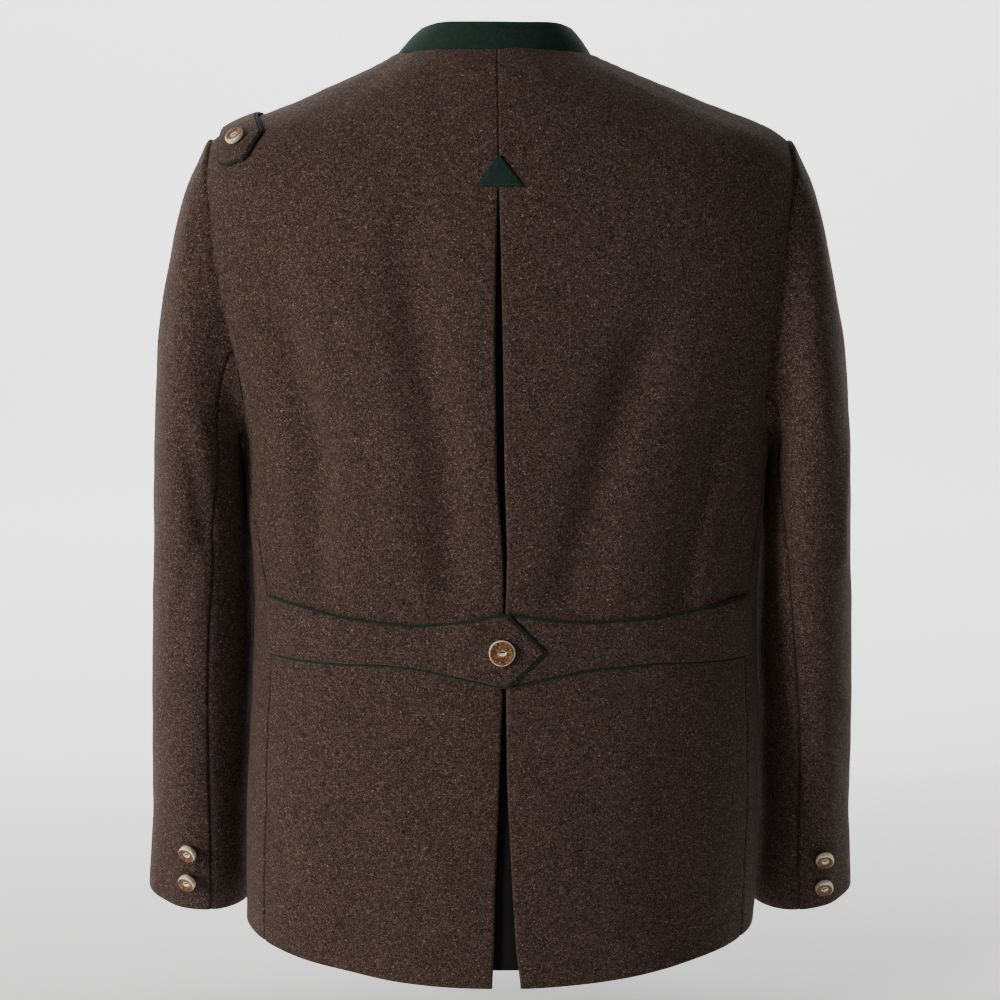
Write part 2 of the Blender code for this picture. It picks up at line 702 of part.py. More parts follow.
def edge_route(rows, open_end):
    """The line just outside a strip's edges, round its free end. Rows run along the strip."""
    top, bottom = rows[0], rows[-1]
    if open_end == "last":
        edge = top + [row[-1] for row in rows[1:-1]] + bottom[::-1]
    else:
        edge = top[::-1] + [row[0] for row in rows[1:-1]] + bottom
    middle = sum((place for place, _ in edge), Vector()) / len(edge)
    reach = PIPING / 2 + SEAM_GAP
    route = []
    for index, (place, outward) in enumerate(edge):
        before = edge[max(index - 1, 0)][0]
        after = edge[min(index + 1, len(edge) - 1)][0]
        come, leave = place - before, after - place
        come = come.normalized() if come.length > 0 else leave.normalized()
        leave = leave.normalized() if leave.length > 0 else come
        aside = (come + leave).cross(outward).normalized()
        if index == 0:
            turn_out = 1.0 if aside.dot(place - middle) > 0 else -1.0
        stretch = 1.0 / max(0.5, (come + leave).length / 2)
        route.append(place + aside * turn_out * reach * stretch)
    return route


def felt_triangle():
    """The small triangle that holds the top of the pleat."""
    lift = CLOTH / 2 + LAY_GAP + FELT / 2
    rows = []
    for height, left_x, right_x in TRIANGLE_ROWS:
        row = []
        for column in range(TRIANGLE_COLUMNS + 1):
            x = left_x + (right_x - left_x) * column / TRIANGLE_COLUMNS
            row.append(laid_point(*back_place(x, height), lift))
        rows.append(row)
    return wall("felt_triangle", rows, FELT, GREEN_FELT)


def shoulder_place(x, y):
    """Angle and ring of the place on the shoulder above a point seen from the top."""
    angle, ring = math.pi / 2 - y / BODY_RINGS[SHOULDER_RING][4], SHOULDER_RING - 0.5
    step = 1e-4
    for _ in range(20):
        here = plain_body_point(angle, ring)
        by_angle = (plain_body_point(angle + step, ring) - here) / step
        by_ring = (plain_body_point(angle, ring + step) - here) / step
        off_x, off_y = x - here.x, y - here.y
        scale = by_angle.x * by_ring.y - by_ring.x * by_angle.y
        angle += (off_x * by_ring.y - by_ring.x * off_y) / scale
        ring += (by_angle.x * off_y - off_x * by_angle.y) / scale
    return angle, ring


def shoulder_strap():
    """The tab that lies over the wearer's left shoulder from front to back."""
    lift = CLOTH / 2 + STRAP_GAP + STRAP_WALL / 2
    rows = []
    for y, outer_x, inner_x in STRAP_ROWS:
        row = []
        for column in range(STRAP_COLUMNS + 1):
            x = outer_x + (inner_x - outer_x) * column / STRAP_COLUMNS
            row.append(laid_point(*shoulder_place(x, y), lift))
        rows.append(row)
    return wall("shoulder_strap", rows, STRAP_WALL, BROWN_WOOL), rows


def button_mesh(diameter):
    """A turned staghorn button, its back at the origin and its face up."""
    name = f"button_{diameter * 1000:.1f}"
    if name in bpy.data.meshes:
        return bpy.data.meshes[name]
    radius, height = diameter / 2, diameter * BUTTON_HEIGHT_SHARE
    shape = bmesh.new()
    rings = []
    for out, up in BUTTON_PROFILE[:-1]:
        ring = []
        for side in range(BUTTON_SIDES):
            turn = 2 * math.pi * side / BUTTON_SIDES
            x, y = radius * out * math.cos(turn), radius * out * math.sin(turn)
            ring.append(shape.verts.new((x, y, height * up)))
        rings.append(ring)
    shape.faces.new(rings[0][::-1])
    for low, high in zip(rings, rings[1:]):
        for side in range(BUTTON_SIDES):
            other = (side + 1) % BUTTON_SIDES
            shape.faces.new((low[side], low[other], high[other], high[side]))
    middle = shape.verts.new((0.0, 0.0, height * BUTTON_PROFILE[-1][1]))
    for side in range(BUTTON_SIDES):
        shape.faces.new((rings[-1][side], rings[-1][(side + 1) % BUTTON_SIDES], middle))
    mesh = bpy.data.meshes.new(name)
    shape.to_mesh(mesh)
    shape.free()
    return mesh


def button(name, diameter, place, outward):
    """Sets a button on cloth: its place is the middle of its back."""
    piece = add_object(name, button_mesh(diameter).copy(), STAGHORN)
    piece.location = place
    piece.rotation_mode = "QUATERNION"
    piece.rotation_quaternion = outward.to_track_quat("Z", "Y")
    return piece


def cuff_buttons(side, side_name):
    """Two buttons beside the hind seam of a sleeve."""
    step = 1e-2
    for number, (degrees, ring) in enumerate(CUFF_BUTTON_PLACES[side_name], 1):
        angle = math.radians(degrees)
        place = plain_sleeve_point(side, ring, angle)
        round_arm = plain_sleeve_point(side, ring, angle + step) - place
        down_arm = plain_sleeve_point(side, ring + step, angle) - place
        outward = round_arm.cross(down_arm).normalized() * -side
        lift = CLOTH / 2 + LAY_GAP
        button(f"cuff_button_{side_name}_{number}", SMALL_BUTTON, place + outward * lift, outward)


def main():
    for old in list(bpy.data.objects):
        bpy.data.objects.remove(old, do_unlink=True)
    for side, side_name in ((1, "left"), (-1, "right")):
        back_panel(f"back_{side_name}", side)
        front_panel(f"front_{side_name}", side)
        grid = sleeve_grid(side)
        count = TOP_SLEEVE_COLUMNS + UNDER_SLEEVE_COLUMNS
        sleeve_half(f"sleeve_top_{side_name}", grid, 0, TOP_SLEEVE_COLUMNS)
        sleeve_half(f"sleeve_under_{side_name}", grid, TOP_SLEEVE_COLUMNS, count)
        cuff_buttons(side, side_name)
    pleat_underlay()
    collar()
    felt_triangle()
    for name, over in (("belt_left", True), ("belt_right", False)):
        rows = belt_part(name, over)[1]
        piping_tube(f"{name}_piping", edge_route(rows, "first"))
    strap_rows = shoulder_strap()[1]
    along_strap = [list(column) for column in zip(*strap_rows)]
    piping_tube("strap_piping", edge_route(along_strap, "first"))
    belt_face = belt_lift(BELT_BUTTON_PLACE[0], over=True) + BELT_WALL / 2 + LAY_GAP
    button("belt_button", LARGE_BUTTON, *laid_point(*back_place(*BELT_BUTTON_PLACE), belt_face))
    strap_face = CLOTH / 2 + STRAP_GAP + STRAP_WALL + 2 * LAY_GAP
    button("strap_button", SMALL_BUTTON, *laid_point(*shoulder_place(*STRAP_BUTTON_PLACE), strap_face))
    for number, height in enumerate(FRONT_BUTTON_HEIGHTS, 1):
        ring = ring_at(height, math.pi)
        face = laid_point(math.pi, ring, CLOTH / 2 + LAY_GAP)
        button(f"front_button_{number}", LARGE_BUTTON, *face)


main()
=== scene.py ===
# %% [markdown]
# A hunting jacket, sewn in Blender
#
# This notebook dresses a packed, rigid model of a brown wool hunting jacket. Every panel is made again as
# a fine shell on the same surface, with its seams, soft folds, piping, stitches and staghorn buttons.
# All sizes are in metres, +Z is up, the jacket's front faces -Y and the wearer's left is +X.

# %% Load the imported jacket
import math

import bmesh
import bpy
import numpy as np
from mathutils import Matrix, Vector


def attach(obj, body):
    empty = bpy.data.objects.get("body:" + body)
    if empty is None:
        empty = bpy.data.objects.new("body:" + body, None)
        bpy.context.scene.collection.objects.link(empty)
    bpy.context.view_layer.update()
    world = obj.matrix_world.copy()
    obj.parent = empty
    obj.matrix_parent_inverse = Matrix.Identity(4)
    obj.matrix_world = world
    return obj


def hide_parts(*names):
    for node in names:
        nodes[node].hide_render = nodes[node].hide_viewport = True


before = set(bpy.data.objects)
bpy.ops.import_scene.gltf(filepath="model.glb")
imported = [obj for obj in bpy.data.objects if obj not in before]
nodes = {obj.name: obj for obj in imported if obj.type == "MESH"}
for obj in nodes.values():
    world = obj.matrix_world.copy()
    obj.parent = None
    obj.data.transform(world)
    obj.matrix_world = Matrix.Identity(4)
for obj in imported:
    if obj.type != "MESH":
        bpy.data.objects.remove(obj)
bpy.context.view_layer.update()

# %% [markdown]
# The studio comes first, so that each later render can be held against the photograph. The picture was
# taken from behind and a little above, with a long lens. A lens of 85 mm nearly two metres away keeps
# the sides from spreading. The jacket hangs from its neck, so the pale floor lies a little below the hem
# and sweeps up behind into a plain backdrop. The paper glows a little behind the jacket only, as paper lit
# from below does, so that it's white in the picture and doesn't lighten the folds.

# %% Camera
CAMERA_DISTANCE = 1.94
CAMERA_RISE = math.radians(11)
LENS_LENGTH = 85
SENSOR_WIDTH = 36
MIDDLE = (0.0, 0.0, -0.3644)


def add_object(name, data):
    """A new object, linked to the scene."""
    thing = bpy.data.objects.new(name, data)
    bpy.context.scene.collection.objects.link(thing)
    return thing


def aim(thing, target):
    """Turns a camera or a lamp to look at a point."""
    thing.rotation_mode = "QUATERNION"
    thing.rotation_quaternion = (Vector(target) - thing.location).to_track_quat("-Z", "Y")


camera = add_object("camera", bpy.data.cameras.new("camera"))
camera.data.lens = LENS_LENGTH
camera.data.sensor_width = SENSOR_WIDTH
camera.location = (
    0.0,
    CAMERA_DISTANCE * math.cos(CAMERA_RISE),
    MIDDLE[2] + CAMERA_DISTANCE * math.sin(CAMERA_RISE),
)
aim(camera, MIDDLE)
bpy.context.scene.camera = camera
print("camera at", [round(v, 3) for v in camera.location])

# %% Soft studio lights
PAPER_BEHIND = (0.0, -3.4, 1.2)
# Columns: name, place, the point it faces, width, height, watts, colour
STUDIO_LIGHTS = (
    ("key", (4.00, 2.75, 0.70), MIDDLE, 1.2, 1.6, 290.0, (1.0, 0.960, 0.91)),
    ("fill", (-1.60, 2.60, 0.10), MIDDLE, 1.4, 1.8, 9.0, (0.96, 0.93, 1.0)),
    ("top", (0.40, 0.45, 1.70), MIDDLE, 1.4, 1.0, 3.0, (1.0, 0.98, 0.96)),
    ("front", (0.80, -2.10, 0.50), MIDDLE, 1.6, 1.6, 9.0, (1.0, 1.0, 1.0)),
    ("backdrop", (0.0, -1.00, 1.60), PAPER_BEHIND, 3.0, 0.8, 110.0, (1.0, 1.0, 1.0)),
)

for name, place, target, width, height, watts, colour in STUDIO_LIGHTS:
    soft_box = bpy.data.lights.new(name, "AREA")
    soft_box.shape = "RECTANGLE"
    soft_box.size = width
    soft_box.size_y = height
    soft_box.energy = watts
    soft_box.color = colour
    lamp = add_object(name, soft_box)
    lamp.location = place
    aim(lamp, target)
print("lights:", len(STUDIO_LIGHTS))

# %% Floor, backdrop and the room's own light
FLOOR_HEIGHT = -0.80
FLOOR_HALF = 6.0
SWEEP_START = -2.2
SWEEP_RADIUS = 1.2
SWEEP_STEPS = 12
BACKDROP_TOP = 5.0
PAPER_COLOUR = (0.80, 0.80, 0.80)
PAPER_ROUGHNESS = 0.9
GLOW_START = 0.30
GLOW_FULL = -0.70
GLOW_STRENGTH = 1.4
WORLD_COLOUR = (1.0, 1.0, 1.0)
WORLD_STRENGTH = 0.06


def fill(tree, node, inputs):
    """Sets a node's inputs: a socket is linked, and a colour is given as red, green and blue."""
    for key, value in inputs.items():
        if isinstance(value, bpy.types.NodeSocket):
            tree.links.new(value, node.inputs[key])
        elif node.inputs[key].type == "RGBA":
            node.inputs[key].default_value = (*value, 1.0)
        else:
            node.inputs[key].default_value = value
    return node


def put(tree, kind, inputs=None, **settings):
    """Adds a node with its settings, and sets its inputs."""
    node = tree.nodes.new(kind)
    for key, value in settings.items():
        setattr(node, key, value)
    return fill(tree, node, inputs or {})


def new_material(name):
    """A material, its node tree and its Principled shader."""
    material = bpy.data.materials.new(name)
    material.use_nodes = True
    return material, material.node_tree, material.node_tree.nodes["Principled BSDF"]


def add_backdrop():
    """One sheet of pale paper: flat below the jacket, then swept up behind it."""
    profile = [(FLOOR_HALF, FLOOR_HEIGHT), (SWEEP_START, FLOOR_HEIGHT)]
    for step in range(1, SWEEP_STEPS + 1):
        turn = math.pi / 2 * step / SWEEP_STEPS
        y = SWEEP_START - SWEEP_RADIUS * math.sin(turn)
        profile.append((y, FLOOR_HEIGHT + SWEEP_RADIUS * (1 - math.cos(turn))))
    profile.append((SWEEP_START - SWEEP_RADIUS, BACKDROP_TOP))
    verts = [(x, y, z) for y, z in profile for x in (-FLOOR_HALF, FLOOR_HALF)]
    faces = [(2 * i, 2 * i + 1, 2 * i + 3, 2 * i + 2) for i in range(len(profile) - 1)]
    mesh = bpy.data.meshes.new("backdrop")
    mesh.from_pydata(verts, [], faces)
    mesh.flip_normals()
    mesh.shade_smooth()
    paper, tree, shader = new_material("pale_paper")
    place = put(tree, "ShaderNodeTexCoord").outputs["Object"]
    along = put(tree, "ShaderNodeSeparateXYZ", {"Vector": place}).outputs["Y"]
    glow = put(tree, "ShaderNodeMapRange", {"Value": along, "From Min": GLOW_START, "From Max": GLOW_FULL})
    fill(tree, shader, {
        "Base Color": PAPER_COLOUR,
        "Roughness": PAPER_ROUGHNESS,
        "Emission Color": glow.outputs["Result"],
        "Emission Strength": GLOW_STRENGTH,
    })
    mesh.materials.append(paper)
    add_object("backdrop", mesh)


add_backdrop()
world = bpy.data.worlds.new("studio")
world.use_nodes = True
background = world.node_tree.nodes["Background"]
fill(world.node_tree, background, {"Color": WORLD_COLOUR, "Strength": WORLD_STRENGTH})
bpy.context.scene.world = world
print("floor at", FLOOR_HEIGHT)

# %% [markdown]
# The jacket's body is one surface: a stack of rings from the neck seam to the hem. Each ring is an
# ellipse with its own depth at the back and at the front, and it drops from the shoulders towards the
# centre. A tailor's block is drafted the same way, from girths at named heights. Two numbers say where
# a point is: the angle round the body from the centre back, and the ring. Short tables hold the sizes,
# and numpy reads them for whole rows of points at once.

# %% Sizes of the body
# Thickness of each kind of wall
CLOTH = 0.002
FELT = 0.0016
COLLAR_WALL = 0.0024
BELT_WALL = 0.0024
STRAP_WALL = 0.0028
# Gaps between neighbours. Below zero they overlap a little, so that no light shows through a seam
SEAM_GAP = 0.0003
LAY_GAP = 0.0005
UNDERLAY_GAP = 0.0012
SEAM_MEETING = -0.0003
ARMHOLE_GAP = -0.0012
STRAP_GAP = 0.0015
# The wearer's two sides: the sign of x, and the name
SIDES = ((1, "left"), (-1, "right"))

# Columns: side_z, back_z, front_z, half_width, back_depth, front_depth, sideways
BODY_RINGS = np.array((
    (-0.0045, 0.0000, -0.0720, 0.0755, 0.0600, 0.0660, 0.0050),
    (-0.0175, -0.0210, -0.0840, 0.1030, 0.0800, 0.0810, 0.0020),
    (-0.0415, -0.0580, -0.1060, 0.1591, 0.1020, 0.1010, 0.0000),
    (-0.0740, -0.1020, -0.1380, 0.2290, 0.1160, 0.1160, 0.0000),
    (-0.1310, -0.1480, -0.1700, 0.2465, 0.1230, 0.1240, 0.0000),
    (-0.1900, -0.1970, -0.2060, 0.2450, 0.1250, 0.1270, 0.0000),
    (-0.2485, -0.2490, -0.2500, 0.2320, 0.1240, 0.1290, -0.0020),
    (-0.3050, -0.3050, -0.3050, 0.2155, 0.1200, 0.1270, -0.0050),
    (-0.3700, -0.3700, -0.3700, 0.2110, 0.1150, 0.1200, -0.0045),
    (-0.4600, -0.4600, -0.4600, 0.2070, 0.1120, 0.1130, -0.0045),
    (-0.5500, -0.5500, -0.5500, 0.2115, 0.1180, 0.1200, -0.0040),
    (-0.6500, -0.6500, -0.6500, 0.2145, 0.1290, 0.1280, -0.0020),
    (-0.7215, -0.7345, -0.7270, 0.2138, 0.1350, 0.1320, 0.0000),
))
NECK_START_RING = 0.005
SHOULDER_RING = 3
ARMPIT_RING = 7
WAIST_RING = 9
HEM_RING = 12
print("rings from neck to hem:", len(BODY_RINGS))

# %% [markdown]
# Wool cloth this heavy doesn't crumple. It hangs from the shoulder blades and the belt gathers it, so
# long shallow troughs run down into the belt, leaning outwards. They are listed one row for each, as
# uneven as the photograph shows them, with like ones on the hidden front. A trough is a bell curve
# across and fades in slowly from above. Smaller creases, which only the looks need, are in a
# second table of the same form, and a sum of a few sines adds the faint unevenness of pressed cloth.

# %% Soft folds in the cloth
# Columns: top angle, top height, bottom angle, bottom height, half width in degrees, depth
BODY_FOLDS = (
    (17.0, -0.060, 11.5, -0.447, 5.0, 0.0084),
    (43.0, -0.120, 46.5, -0.447, 6.4, 0.0090),
    (-33.0, -0.150, -12.0, -0.447, 5.6, 0.0076),
    (-53.0, -0.210, -42.0, -0.447, 5.4, 0.0066),
    (-66.0, -0.290, -59.0, -0.447, 5.2, 0.0034),
    (29.0, -0.530, 36.0, -0.840, 9.0, 0.0028),
    (-38.0, -0.490, -45.0, -0.830, 9.0, 0.0018),
    (126.0, -0.180, 134.0, -0.520, 8.0, 0.0046),
    (-129.0, -0.200, -137.0, -0.540, 8.0, 0.0038),
    (143.0, -0.440, 139.0, -0.830, 10.0, 0.0032),
    (-140.0, -0.460, -137.0, -0.830, 10.0, 0.0028),
)
BODY_CREASES = (
    (32.0, -0.120, 29.0, -0.400, 3.0, 0.0007),
    (62.0, -0.300, 57.0, -0.420, 3.6, 0.0014),
    (-76.0, -0.300, -66.0, -0.420, 4.0, 0.0010),
    (-24.0, -0.350, -20.0, -0.436, 2.4, 0.0011),
    (-56.0, -0.350, -51.0, -0.432, 2.6, 0.0010),
    (25.0, -0.350, 22.0, -0.436, 2.6, 0.0010),
    (18.0, -0.490, 20.0, -0.640, 4.0, 0.0011),
    (-17.0, -0.490, -21.0, -0.660, 4.0, 0.0009),
    (106.0, -0.330, 118.0, -0.470, 5.0, 0.0014),
    (-104.0, -0.330, -119.0, -0.460, 5.0, 0.0014),
    (158.0, -0.130, 150.0, -0.420, 5.0, 0.0012),
    (-157.0, -0.150, -151.0, -0.400, 5.0, 0.0011),
)
FOLD_RISE = 0.38
FOLD_FALL = 0.11
# Columns: waves per metre across, waves per metre down, phase, depth
WAVER = (
    (7.0, 5.0, 0.4, 0.00035),
    (-11.0, 8.0, 2.1, 0.00025),
    (19.0, -13.0, 4.0, 0.00015),
    (5.0, 23.0, 1.3, 0.00012),
)


def smooth_step(value):
    """Rises from 0 to 1 with a soft start and end."""
    value = np.clip(value, 0.0, 1.0)
    return value * value * (3.0 - 2.0 * value)


def trough_depth(table, across, height):
    """How far the troughs of a table press the cloth in: across is an angle in degrees."""
    depth = np.zeros(np.broadcast(across, height).shape)
    for top, top_z, bottom, bottom_z, half_width, deepest in table:
        along = (top_z - height) / (top_z - bottom_z)
        centre = top + (bottom - top) * np.clip(along, 0.0, 1.0)
        ends = smooth_step(along / FOLD_RISE) * smooth_step((1.0 - along) / FOLD_FALL)
        depth = depth + deepest * ends * np.exp(-(((across - centre) / half_width) ** 2))
    return depth


def waver(across, down):
    """The faint unevenness of pressed cloth, from metres across and metres down."""
    total = np.zeros(np.broadcast(across, down).shape)
    for across_rate, down_rate, phase, depth in WAVER:
        total = total + depth * np.sin(2 * math.pi * (across_rate * across + down_rate * down) + phase)
    return total


print("folds:", len(BODY_FOLDS), "small creases:", len(BODY_CREASES))

# %% Reading a surface from its table
METRES_PER_RADIAN = 0.17
# How far apart, in radians or rings, two points are taken to measure a direction
STEP = 1e-3
HALVINGS = 26
PLACE_PASSES = 6
TINY = 1e-12


def unit(vectors):
    """The same directions with length 1."""
    return vectors / np.maximum(np.linalg.norm(vectors, axis=-1, keepdims=True), TINY)


def table_row(table, position):
    """The rows of a table at fractional positions, on a smooth curve through its rows."""
    table = np.asarray(table, float)
    padded = np.vstack([2 * table[:1] - table[1:2], table, 2 * table[-1:] - table[-2:-1]])
    position = np.asarray(position, float)
    index = np.clip(np.floor(position).astype(int), 0, len(table) - 2)
    f = (position - index)[..., None]
    p0, p1, p2, p3 = (padded[index + k] for k in range(4))
    leave, arrive = (p2 - p0) / 2, (p3 - p1) / 2
    curve = p1 * (2 * f**3 - 3 * f**2 + 1) + leave * (f**3 - 2 * f**2 + f)
    return curve + p2 * (3 * f**2 - 2 * f**3) + arrive * (f**3 - f**2)


def column_at(table, value, column):
    """A column of a table read at values of its first column, with straight runs between rows."""
    rows = np.asarray(table, float)
    rows = rows[np.argsort(rows[:, 0])]
    return np.interp(value, rows[:, 0], rows[:, column])


def ring_points(row, angle, level=None):
    """Points at angles round rings, whose sizes are rows with the columns of BODY_RINGS."""
    side_z, back_z, front_z, half, back, front, sideways = np.moveaxis(row, -1, 0)
    forward = np.cos(angle)
    level = forward**2 if level is None else level
    depth = np.where(forward > 0, back, front)
    height = side_z + (np.where(forward > 0, back_z, front_z) - side_z) * level
    return np.stack([half * np.sin(angle) + sideways, depth * forward, height], -1)


def plain_body(angle, ring):
    """Points on the body without folds."""
    angle, ring = np.broadcast_arrays(np.asarray(angle, float), np.asarray(ring, float))
    return ring_points(table_row(BODY_RINGS, ring), angle)


def body(angle, ring, lift=0.0):
    """Points on the body with its folds, moved out by the lift, and the directions they face."""
    place = plain_body(angle, ring)
    round_body = plain_body(angle + STEP, ring) - plain_body(angle - STEP, ring)
    down_body = plain_body(angle, ring + STEP) - plain_body(angle, ring - STEP)
    outward = unit(np.cross(round_body, down_body))
    depth = trough_depth(BODY_FOLDS + BODY_CREASES, np.degrees(angle), place[..., 2])
    depth = depth + waver(angle * METRES_PER_RADIAN, place[..., 2])
    return place + outward * (lift - depth)[..., None], outward


def arc_per_radian(angle, ring):
    """Metres along the ring for each radian."""
    chord = plain_body(angle + STEP, ring) - plain_body(angle - STEP, ring)
    return np.linalg.norm(chord, axis=-1) / (2 * STEP)


def ring_at(height, angle):
    """The ring at which the body has a height, at one angle, by halving the range."""
    low, high = np.zeros(np.broadcast(height, angle).shape), HEM_RING + 0.0
    for _ in range(HALVINGS):
        middle = (low + high) / 2
        above = plain_body(angle, middle)[..., 2] > height
        low, high = np.where(above, middle, low), np.where(above, high, middle)
    return (low + high) / 2


def angle_at(x, ring, behind=True):
    """The angle at which a ring is x to the side, on the back or on the front."""
    row = table_row(BODY_RINGS, ring)
    angle = np.arcsin(np.clip((x - row[..., 6]) / row[..., 3], -1.0, 1.0))
    return angle if behind else math.pi - angle


def back_place(x, height):
    """Angle and ring of a place on the back, from its x and its height."""
    angle = np.zeros(np.broadcast(x, height).shape)
    for _ in range(PLACE_PASSES):
        ring = ring_at(height, angle)
        angle = angle_at(x, ring)
    return angle, ring


print("body is", round(float(plain_body(math.pi / 2, 5.0)[0] * 2), 3), "m wide at the chest")

# %% [markdown]
# Each piece of cloth is a grid of points with the direction in which it faces. One helper turns such a
# grid into a closed shell of the cloth's real thickness. It could be a plane with Solidify, but then the
# edges would be square and the cloth's own directions lost. Here the grid also gives a UV map in metres,
# across and down the cloth, and a Bevel modifier rounds the cut edges.

# %% A cloth shell from a grid of points
EDGE_ROUNDING = 0.0007
BEVEL_SEGMENTS = 2
BEVEL_FROM_ANGLE = math.radians(50)
pieces = {}


def run_length(points, axis):
    """Metres along a grid, from its first row (axis 0) or first column (axis 1), to each point."""
    steps = np.linalg.norm(np.diff(points, axis=axis), axis=-1)
    return np.insert(np.cumsum(steps, axis), 0, 0.0, axis)


def sheet_size(points):
    """Width, length and area of a grid of cloth, laid out flat."""
    side_a = points[1:, :-1] - points[:-1, :-1]
    side_b = points[:-1, 1:] - points[:-1, :-1]
    area = np.linalg.norm(np.cross(side_a, side_b), axis=-1).sum()
    width, length = run_length(points, 1).max(), run_length(points, 0).max()
    return round(float(width), 3), round(float(length), 3), round(float(area), 4)


def set_uv(mesh, name, values):
    """A UV map from one pair of values for each point of a mesh."""
    loops = np.empty(len(mesh.loops), int)
    mesh.loops.foreach_get("vertex_index", loops)
    layer = mesh.uv_layers.new(name=name)
    layer.data.foreach_set("uv", values[loops].astype(np.float32).ravel())


def closed_mesh(mesh):
    """Turns the faces of a closed mesh outwards and shades it smooth."""
    shape = bmesh.new()
    shape.from_mesh(mesh)
    bmesh.ops.recalc_face_normals(shape, faces=shape.faces)
    shape.to_mesh(mesh)
    shape.free()
    mesh.shade_smooth()
    return mesh


def wall_mesh(name, points, outward, thickness, shade):
    """A closed wall round a grid, with a UV map in metres and an attribute for the painted shade in the
    seams.
    """
    down, across = points.shape[:2]
    shift = down * across
    reach = outward * thickness / 2
    verts = np.concatenate([(points + reach).reshape(-1, 3), (points - reach).reshape(-1, 3)])
    index = np.arange(shift).reshape(down, across)
    quads = np.stack([index[:-1, :-1], index[:-1, 1:], index[1:, 1:], index[1:, :-1]], -1)
    quads = quads.reshape(-1, 4)
    border = np.concatenate([index[0, :-1], index[:-1, -1], index[-1, :0:-1], index[:0:-1, 0]])
    following = np.roll(border, -1)
    rim = np.stack([following, border, border + shift, following + shift], -1)
    faces = np.concatenate([quads, quads[:, ::-1] + shift, rim])
    mesh = bpy.data.meshes.new(name)
    mesh.from_pydata(verts.tolist(), [], faces.tolist())
    uv = np.stack([run_length(points, 1), -run_length(points, 0)], -1).reshape(-1, 2)
    set_uv(mesh, "cloth", np.tile(uv, (2, 1)))
    # Painted shade for each point, the same on the outer and the inner face
    painted_shades = np.tile(np.broadcast_to(shade, points.shape[:2]).ravel(), 2)
    seam = mesh.attributes.new("seam", "FLOAT", "POINT")
    seam.data.foreach_set("value", painted_shades.astype(np.float32))
    return closed_mesh(mesh)


def cloth_piece(name, points, outward, thickness, shade=0.0, rounding=EDGE_ROUNDING):
    """A piece of cloth with rounded edges."""
    piece = add_object(name, wall_mesh(name, points, outward, thickness, shade))
    bevel = piece.modifiers.new("round_edges", "BEVEL")
    bevel.width = rounding
    bevel.segments = BEVEL_SEGMENTS
    bevel.limit_method = "ANGLE"
    bevel.angle_limit = BEVEL_FROM_ANGLE
    pieces[name] = piece
    print(name, "flat width, length and area:", sheet_size(points))


print("cut edges are rounded by", EDGE_ROUNDING * 1000, "mm")

# %% [markdown]
# A seam isn't a line drawn on cloth. The two edges turn in to the seam allowance, so each panel dips a
# millimetre over its last few millimetres, and the thread pulls it into faint, uneven puckers. The
# columns are packed close together near an edge to give that dip its shape. Little light reaches the
# bottom of the groove, so a number from 0 to 1 at each point tells the material how deep in it lies,
# and the material paints that shade in by darkening the cloth's colour.

# %% Seam dips, puckers and painted shade
SEAM_DIP = 0.0012
SEAM_ROLL = 0.0030
PUCKER_DEPTH = 0.00030
PUCKER_REACH = 0.012
# Columns: length of a pucker, its share of the depth, phase
PUCKERS = ((0.017, 1.0, 0.0), (0.029, 0.7, 1.9))
ARMHOLE_DIP_SHARE = 0.40
# Painted shade along the seams: the armhole's share of it, and how far it reaches from a seam
ARMHOLE_PAINTED_SHADE_SHARE = 0.6
PAINTED_SHADE_REACH = 0.0017
NEAR_EDGE = (0.0, 0.0005, 0.0011, 0.0019, 0.0030, 0.0050)


def seam_dip(distance, along):
    """How far cloth lies below its surface at a distance from a seam."""
    dip = SEAM_DIP * np.clip(1.0 - distance / SEAM_ROLL, 0.0, 1.0) ** 2
    beats = sum(share * np.sin(along * 2 * math.pi / length + phase) for length, share, phase in PUCKERS)
    return dip + PUCKER_DEPTH * beats * np.clip(1.0 - distance / PUCKER_REACH, 0.0, 1.0) ** 2


def painted_seam_shade(distance):
    """How deep in a seam's groove a point lies, as the share of painted shade it gets: 1 on the seam, 0
    away from it.
    """
    return np.clip(1.0 - distance / PAINTED_SHADE_REACH, 0.0, 1.0)


def shares_across(length, count, dense_start, dense_end):
    """Shares of each row's length where its columns lie, packed towards the edges that have a seam."""
    length = np.asarray(length, float)[:, None]
    start = np.array(NEAR_EDGE if dense_start else (0.0,))[None] / length
    end = 1.0 - np.array(NEAR_EDGE if dense_end else (0.0,))[None, ::-1] / length
    spread = (np.arange(1, count) / count)[None]
    between = start[:, -1:] + (end[:, :1] - start[:, -1:]) * spread
    return np.concatenate([start, between, end], 1)


print("seam dips", SEAM_DIP * 1000, "mm")

# %% [markdown]
# The two back panels meet in a seam from the collar down to a felt triangle. Below it their edges are
# folded under and stand a little apart, down to an open vent at the hem: an inverted pleat that lets the
# wearer raise both arms. A table gives the two folded edges by height. Each fold is a half circle of
# cloth, from which the cloth returns inside. The outer edge runs along the shoulder seam, round the
# armhole and down the side seam.

# %% Outlines of the panels
ARMHOLE_BACK = 25.0
ARMHOLE_FRONT = 30.0
ARMHOLE_ROUNDNESS = 0.8
ARMPIT_BEHIND_SIDE = 4.0
# Columns: ring, left seam, right seam, in degrees from the centre back
SIDE_SEAMS = (
    (7.0, 86.0, 86.0),
    (7.5, 79.0, 80.5),
    (8.0, 73.0, 75.5),
    (8.6, 68.5, 72.0),
    (9.2, 66.0, 69.5),
    (12.0, 65.0, 68.5),
)
